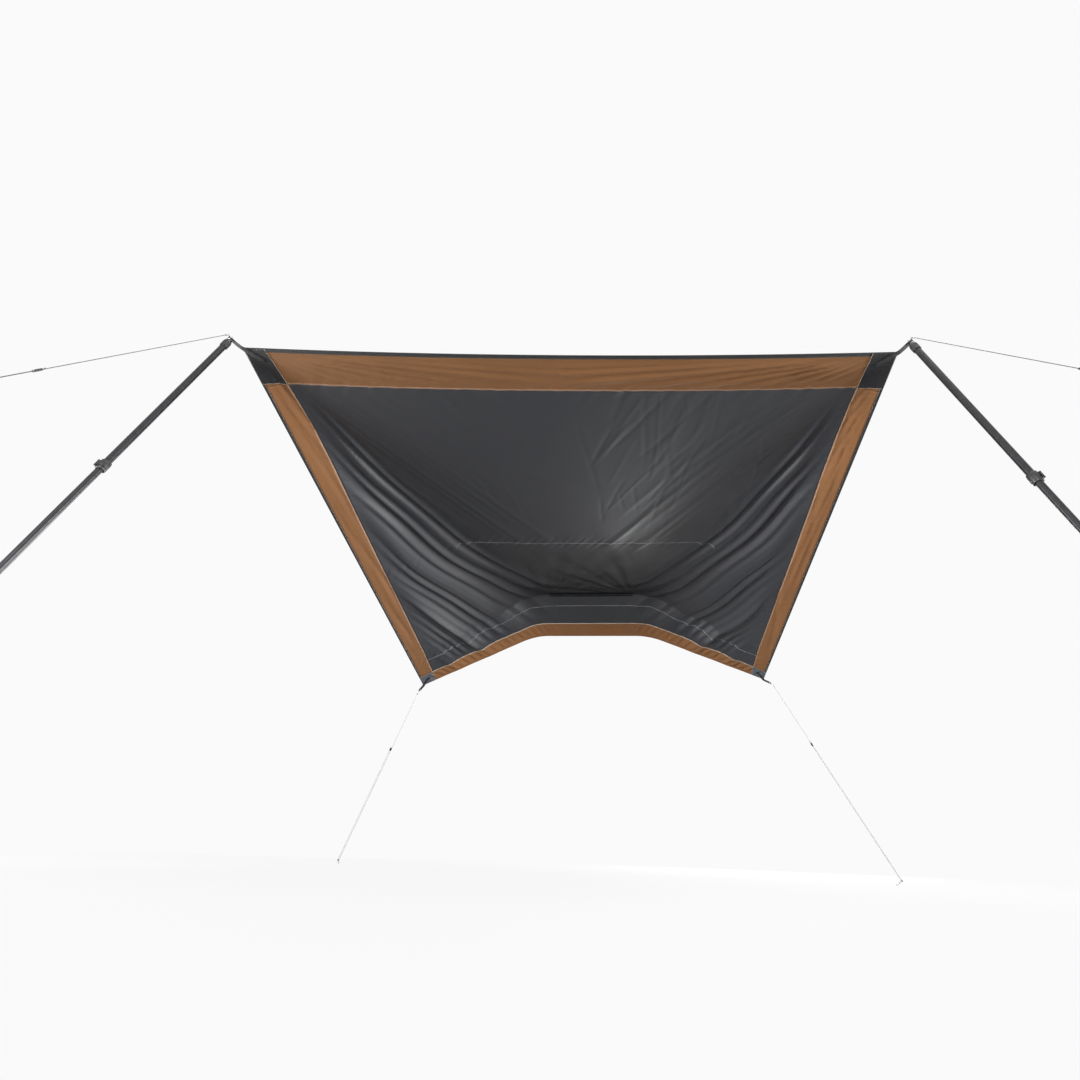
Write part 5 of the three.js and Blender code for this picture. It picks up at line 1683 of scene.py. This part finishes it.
@dataclass(frozen=True)
class Canopy:
    """The cloth roof with its bands, bindings, seams and taped edges."""

    step: float = 0.0115
    fine_step: float = 0.004
    gap: float = 0.0005
    cloth: float = 0.0015
    tape: float = 0.003
    strip: float = 0.0004
    fold_width: float = 0.011
    tape_half: float = 0.004
    stitch_inset: float = 0.003
    stitch_apart: float = 0.006
    hem: float = 0.012
    stitch_pitch: float = 0.009
    stitch_length: float = 0.0055
    stitch_thick: float = 0.0007
    stitch_lift: float = 0.0001

    @property
    def tape_inner(self) -> float:
        """Distance from the middle line to the side bindings' inner edges."""
        return CLOTH.half_width - CLOTH.binding

    def layer(self, name: str, across: Span, along: Span, thickness: float, lift: float = 0.0,
              steps: tuple[float | None, float | None] = (None, None)) -> Piece:
        """A layer of cloth over a rectangle of the cut.

        Args:
            name: The piece's name.
            across: Where it starts and ends across the cloth.
            along: Where it starts and ends along the cloth.
            thickness: How thick it is.
            lift: How far it is over the cloth's middle surface.
            steps: The spacing of its points across and along, where it isn't the common one.

        Returns:
            The new object.
        """
        stops = [np.linspace(start, end, max(2, round((end - start) / (step or self.step)) + 1))
                 for (start, end), step in zip((along, across), steps[::-1])]
        b, a = np.meshgrid(*stops, indexing="ij")
        return cloth_layer(name, a, b, thickness, lift)

    def sheet(self, wardrobe: Wardrobe, name: str, finish: Finish, across: Span, along: Span,
              flat: Span, *replaces: str) -> None:
        made = self.layer(name, across, along, self.cloth)
        wardrobe.dress(made, finish, *replaces)

    def build(self, wardrobe: Wardrobe) -> None:
        """Makes every piece of the roof."""
        inner, tape, gap = CLOTH.band_inner, self.tape_inner, self.gap
        front, rear = CLOTH.front_band, CLOTH.rear_seam
        between = (front + gap, rear - gap)
        self.sheet(wardrobe, "roof", ROOF_CLOTH, (-inner + gap, inner - gap), between,
                   (inner * 2, rear - front), "roof_panel_front", "roof_panel_rear")
        wide = (-tape + gap, tape - gap)
        bands = (("front_band", wide, (CLOTH.webbing + gap, front)),
                 ("rear_band", wide, (rear, CLOTH.length)),
                 ("side_band_left", (-tape + gap, -inner), between),
                 ("side_band_right", (inner, tape - gap), between))
        for name, across, along in bands:
            self.sheet(wardrobe, f"{name}_cloth", BAND_CLOTH, across, along,
                       (across[1] - across[0], along[1] - along[0]), name)
        webbing = self.layer("front_edge_webbing", (-CLOTH.half_width, CLOTH.half_width),
                             (0, CLOTH.webbing), self.tape, steps=(None, 0.007))
        wardrobe.dress(webbing, WEBBING, "front_webbing")
        for side in Side:
            across = tuple(sorted((side.value * tape, side.value * CLOTH.half_width)))
            binding = self.layer(f"binding_{side.label}", across,
                                 (CLOTH.webbing + gap, CLOTH.length), self.tape,
                                 steps=(0.0047, None))
            wardrobe.dress(binding, WEBBING, f"side_binding_{side.label}")
        self.seams(wardrobe)
        self.selvedges(wardrobe)

    def selvedges(self, wardrobe: Wardrobe) -> None:
        """Makes the pale turned edges of the bands, with the rear one painted paler still as a
        painted highlight, and the taped seams of the roof cloth.
        """
        inner, plain, fold, over = CLOTH.band_inner, CLOTH.plain_half, self.fold_width, 0.001
        front, rear, half = CLOTH.front_band, CLOTH.rear_seam, self.tape_half
        whole, between = (-inner, inner), (front, rear)
        strips = (
            ("selvedge_front", SELVEDGE, whole, (front - fold, front + over)),
            # The rear strip is painted paler, as a painted highlight along the rear band's inner
            # edge.
            ("selvedge_rear", SELVEDGE_WITH_PAINTED_HIGHLIGHT, whole, (rear - over, rear + 0.010)),
            ("selvedge_left", SELVEDGE, (-inner - fold, -inner + over), between),
            ("selvedge_right", SELVEDGE, (inner - over, inner + fold), between),
            ("seam_tape_cross", SEAM_TAPE, (-plain, plain),
             (CLOTH.cross_seam - half, CLOTH.cross_seam + half)),
            ("seam_tape_keder", SEAM_TAPE, whole,
             (CLOTH.keder_seam - half, CLOTH.keder_seam + half)),
        )
        for name, finish, *spans in strips:
            steps = tuple(self.fine_step if end - start < 0.02 else None for start, end in spans)
            made = self.layer(name, *spans, self.strip, -(self.cloth + self.strip) / 2, steps)
            wardrobe.dress(made, finish)

    def seams(self, wardrobe: Wardrobe) -> None:
        """Makes the rows of stitches along every seam."""
        inner, tape, inset = CLOTH.band_inner, self.tape_inner, self.stitch_inset
        front, rear = CLOTH.front_band, CLOTH.rear_seam
        bands = []
        for off in (inset, inset + self.stitch_apart):
            bands += [self.across(tape, front - off), self.across(tape, rear + off),
                      self.row((inner + off, front), (inner + off, rear)),
                      self.row((-inner - off, front), (-inner - off, rear))]
        bands.append(self.across(tape, CLOTH.length - self.hem))
        webbing = [self.across(CLOTH.half_width, b) for b in (inset, CLOTH.webbing - inset)]
        webbing += [self.row((a, 0.03), (a, CLOTH.length)) for a in (-tape - inset, tape + inset)]
        cross = [self.across(CLOTH.plain_half, CLOTH.cross_seam + off) for off in (-inset, inset)]
        cross.append(self.across(inner, CLOTH.keder_seam))
        rows = (("stitches_bands", BROWN_THREAD, bands, self.cloth / 2),
                ("stitches_webbing", DARK_THREAD, webbing, self.tape / 2),
                ("stitches_cross", SEAM_THREAD, cross, self.cloth / 2 + self.strip))
        for name, finish, runs, lift in rows:
            made = self.stitches(name, np.concatenate(runs), lift + self.stitch_lift)
            wardrobe.dress(made, finish)

    def row(self, start: Span, end: Span) -> Array:
        """Each stitch of a straight row, as its place and its direction on the cut."""
        start, end = np.array(start), np.array(end)
        length = float(np.linalg.norm(end - start))
        count = max(1, int(length / self.stitch_pitch))
        shares = (np.arange(count) + 0.5) / count
        places = start + (end - start) * shares[:, None]
        return np.concatenate([places, np.tile((end - start) / length, (count, 1))], axis=1)

    def across(self, half: float, b: float) -> Array:
        """A row of stitches across the cloth, about its middle line."""
        return self.row((-half, b), (half, b))

    def stitches(self, name: str, rows: Array, lift: float) -> Piece:
        """Small raised stitches on both faces of the cloth.

        Args:
            name: The piece's name.
            rows: For each stitch its place and direction on the cut.
            lift: Half the thickness of what is sewn.

        Returns:
            The new object.
        """
        half, count = self.stitch_length / 2, len(rows)
        points, faces = [], []
        for base, face in ((0, -1), (5 * count, 1)):
            ends = [rows[:, :2] + rows[:, 2:] * half * sign for sign in (-1, 1)]
            tips = [CLOTH.lifted(end[:, 0], end[:, 1], face * lift) for end in ends]
            normal = CLOTH.normal(rows[:, 0], rows[:, 1]) * face
            middle = (tips[0] + tips[1]) / 2 + normal * self.stitch_thick
            side = unit(np.cross(tips[1] - tips[0], normal)) * self.stitch_thick * 0.7
            points += [tips[0], middle + side, tips[1], middle - side,
                       middle + normal * self.stitch_thick * 0.3]
            k = base + np.arange(count)
            for corners in ((0, 1, 4), (1, 2, 4), (2, 3, 4), (3, 0, 4), (0, 3, 2), (0, 2, 1)):
                faces.append(np.stack([k + corner * count for corner in corners], axis=1))
        return mesh_object(name, np.concatenate(points), np.concatenate(faces))


@dataclass(frozen=True)
class Corner(CornerPart):
    """One corner's reinforcing patch, its piping and its sewn tab."""

    patch: float = 0.0012
    patch_lift: float = -0.0024
    inset: float = 0.002
    skew: float = 0.03
    piping: float = 0.0016
    tab_width: float = 0.03
    tab_thick: float = 0.003
    tab_lift: float = -0.0048
    tab_beyond: float = 0.015
    tab_points: int = 90
    barrel: float = 0.0068

    @property
    def tab(self) -> Matrix:
        """The frame of the corner's tab."""
        return PITCH.tab(self.side, self.end)

    def patch_piece(self, wardrobe: Wardrobe) -> None:
        """Makes the patch and the pale piping on its inner edges."""
        front = self.end is End.FRONT
        band = CLOTH.front_band if front else CLOTH.rear_band
        wide, inset = CLOTH.side_band - self.inset, self.inset
        outer = band - (self.skew if front else 0) - inset
        corners = np.array([[inset, inset], [wide, inset], [wide, band - inset], [inset, outer]])
        q, p = np.meshgrid(np.linspace(0, 1, 25), np.linspace(0, 1, 25), indexing="ij")
        shares = ((1 - p) * (1 - q), p * (1 - q), p * q, (1 - p) * q)
        mixed = sum(corner * share[..., None] for corner, share in zip(corners, shares))
        places = on_cut(self.side, self.end, mixed[..., 0], mixed[..., 1])
        piece = cloth_layer(f"patch_{self.label}", *places, self.patch, self.patch_lift)
        wardrobe.dress(piece, PATCH_CLOTH if front else REAR_PATCH_CLOTH,
                       f"corner_patch_{self.label}")
        run = np.concatenate([np.linspace(corners[1], corners[2], 30),
                              np.linspace(corners[2], corners[3], 24)[1:]])
        line = CLOTH.lifted(*on_cut(self.side, self.end, run[:, 0], run[:, 1]), self.patch_lift)
        wardrobe.dress(tube_mesh(f"piping_{self.label}", line, self.piping, 8), PIPING)

    def tab_path(self) -> tuple[Array, Array]:
        """The tab's middle line from its sewn end to its eyelet, and its direction across."""
        x, y, z, origin = axes(self.tab)
        inside = np.linspace(PITCH.tab_inside, 0.012, 22) * math.sqrt(0.5)
        under, aside = (CLOTH.lifted(*on_cut(self.side, self.end, inside + off, inside - off),
                                     self.tab_lift) for off in (0, 0.007))
        sewn_across = unit(aside - under)
        if (sewn_across[-1] @ y) < 0:
            sewn_across = -sewn_across
        out = unit(under[-1] - under[-2])
        free = [under[-1] + out * 0.016 - z * 0.0012]
        free += [origin - x * s + z * h for s, h in ((0.038, -0.0038), (0.024, -0.0014),
                                                     (0.0145, 0.0), (0.007, 0), (0.0, 0),
                                                     (-0.007, 0), (-self.tab_beyond, 0))]
        path = np.concatenate([under, np.array(free)])
        across = np.concatenate([sewn_across, np.tile(y, (len(free), 1))])
        return path, across

    def tab_piece(self, wardrobe: Wardrobe) -> None:
        """Makes the webbing tab as a ribbon, with the eyelet's hole left to the eyelet."""
        path, across = self.tab_path()
        fine = resampled(path, self.tab_points)
        side = unit(resampled(across, self.tab_points))
        normal = unit(np.cross(unit(np.gradient(fine, axis=0)), side))
        shares = np.linspace(-0.5, 0.5, 9)
        grid = fine[:, None, :] + side[:, None, :] * (shares * self.tab_width)[None, :, None]
        half = self.tab_thick / 2 * (1 - 0.35 * (2 * np.abs(shares)) ** 6)
        uvs = np.stack(np.broadcast_arrays((shares * self.tab_width)[None, :],
                                           run_lengths(fine)[:, None]), -1)
        ribbon = closed_layer(f"tab_{self.label}", grid, normal[:, None, :] * half[None, :, None],
                              uvs)
        x, y, z, origin = axes(self.tab)
        punch = Form().turned([(0, -0.01), (self.barrel, -0.01), (self.barrel, 0.01), (0, 0.01)],
                              placed(x, z, -y, origin), 32)
        drilled(ribbon, punch.done(f"punch_{self.label}"))
        wardrobe.dress(ribbon, WEBBING, f"corner_tab_{self.label}")
        self.cross_stitches(wardrobe, fine, side, normal)

    def cross_stitches(self, wardrobe: Wardrobe, path: Array, side: Array, normal: Array) -> None:
        """A box of stitches with a cross in it, on the tab's sewn end."""
        runs = run_lengths(path)
        half, start, end = 0.011, 0.008, 0.062
        box = ((start, -half), (end, -half), (end, half), (start, half))
        spots = []
        for first, last in ((0, 1), (1, 2), (2, 3), (3, 0), (0, 2), (3, 1)):
            (r0, s0), (r1, s1) = box[first], box[last]
            count = max(2, int(math.hypot(r1 - r0, s1 - s0) / 0.004))
            for share in (np.arange(count) + 0.5) / count:
                spots.append((r0 + (r1 - r0) * share, s0 + (s1 - s0) * share,
                              math.atan2(s1 - s0, r1 - r0)))
        points, faces = [], []
        for run, off, turn in spots:
            k = int(np.clip(np.searchsorted(runs, run), 1, len(runs) - 1))
            share = (run - runs[k - 1]) / (runs[k] - runs[k - 1])
            centre = path[k - 1] * (1 - share) + path[k] * share + side[k] * off
            down = -normal[k] if normal[k][2] > 0 else normal[k]
            ahead = unit(path[k] - path[k - 1])
            line = ahead * math.cos(turn) + side[k] * math.sin(turn)
            wide = np.cross(line, down) * 0.0004
            base = centre + down * self.tab_thick / 2
            first = len(points)
            points += [base - line * 0.0014, base + wide + down * 0.0003, base + line * 0.0014,
                       base - wide + down * 0.0003, base + down * 0.0006, base - down * 0.0002]
            for n in range(4):
                after = (n + 1) % 4
                faces += [[first + n, first + after, first + 4],
                          [first + after, first + n, first + 5]]
        made = mesh_object(f"tab_stitches_{self.label}", np.array(points), faces)
        wardrobe.dress(made, GREY_THREAD)

    def eyelet_piece(self, wardrobe: Wardrobe) -> None:
        """Makes the rolled eyelet in the tab."""
        x, y, z, origin = axes(self.tab)
        profile = mirrored([(0.0055, 0.0022), (0.0060, 0.0026), (0.0070, 0.0028),
                            (0.0090, 0.0028), (0.0100, 0.0026), (0.0105, 0.0022),
                            (0.0105, 0.0018), (0.0068, 0.0018)])
        eyelet = Form().turned([*profile, profile[0]], placed(x, z, -y, origin), 40)
        wardrobe.dress(eyelet.done(f"eyelet_ring_{self.label}"), STEEL, f"eyelet_{self.label}")

    def build(self, wardrobe: Wardrobe) -> None:
        """Makes the corner's pieces."""
        self.patch_piece(wardrobe)
        self.tab_piece(wardrobe)
        self.eyelet_piece(wardrobe)


def main() -> None:
    """Builds the awning's looks in order."""
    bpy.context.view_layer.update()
    wardrobe = Wardrobe()
    Studio().build()
    corners = [(side, end) for end in End for side in Side]
    parts = [*(Guyline(*corner) for corner in corners), Canopy(),
             *(Corner(*corner) for corner in corners), *map(Pole, Side), Rail()]
    for part in parts:
        part.build(wardrobe)


if __name__ == "__main__":
    logging.basicConfig(level=logging.INFO)
    main()
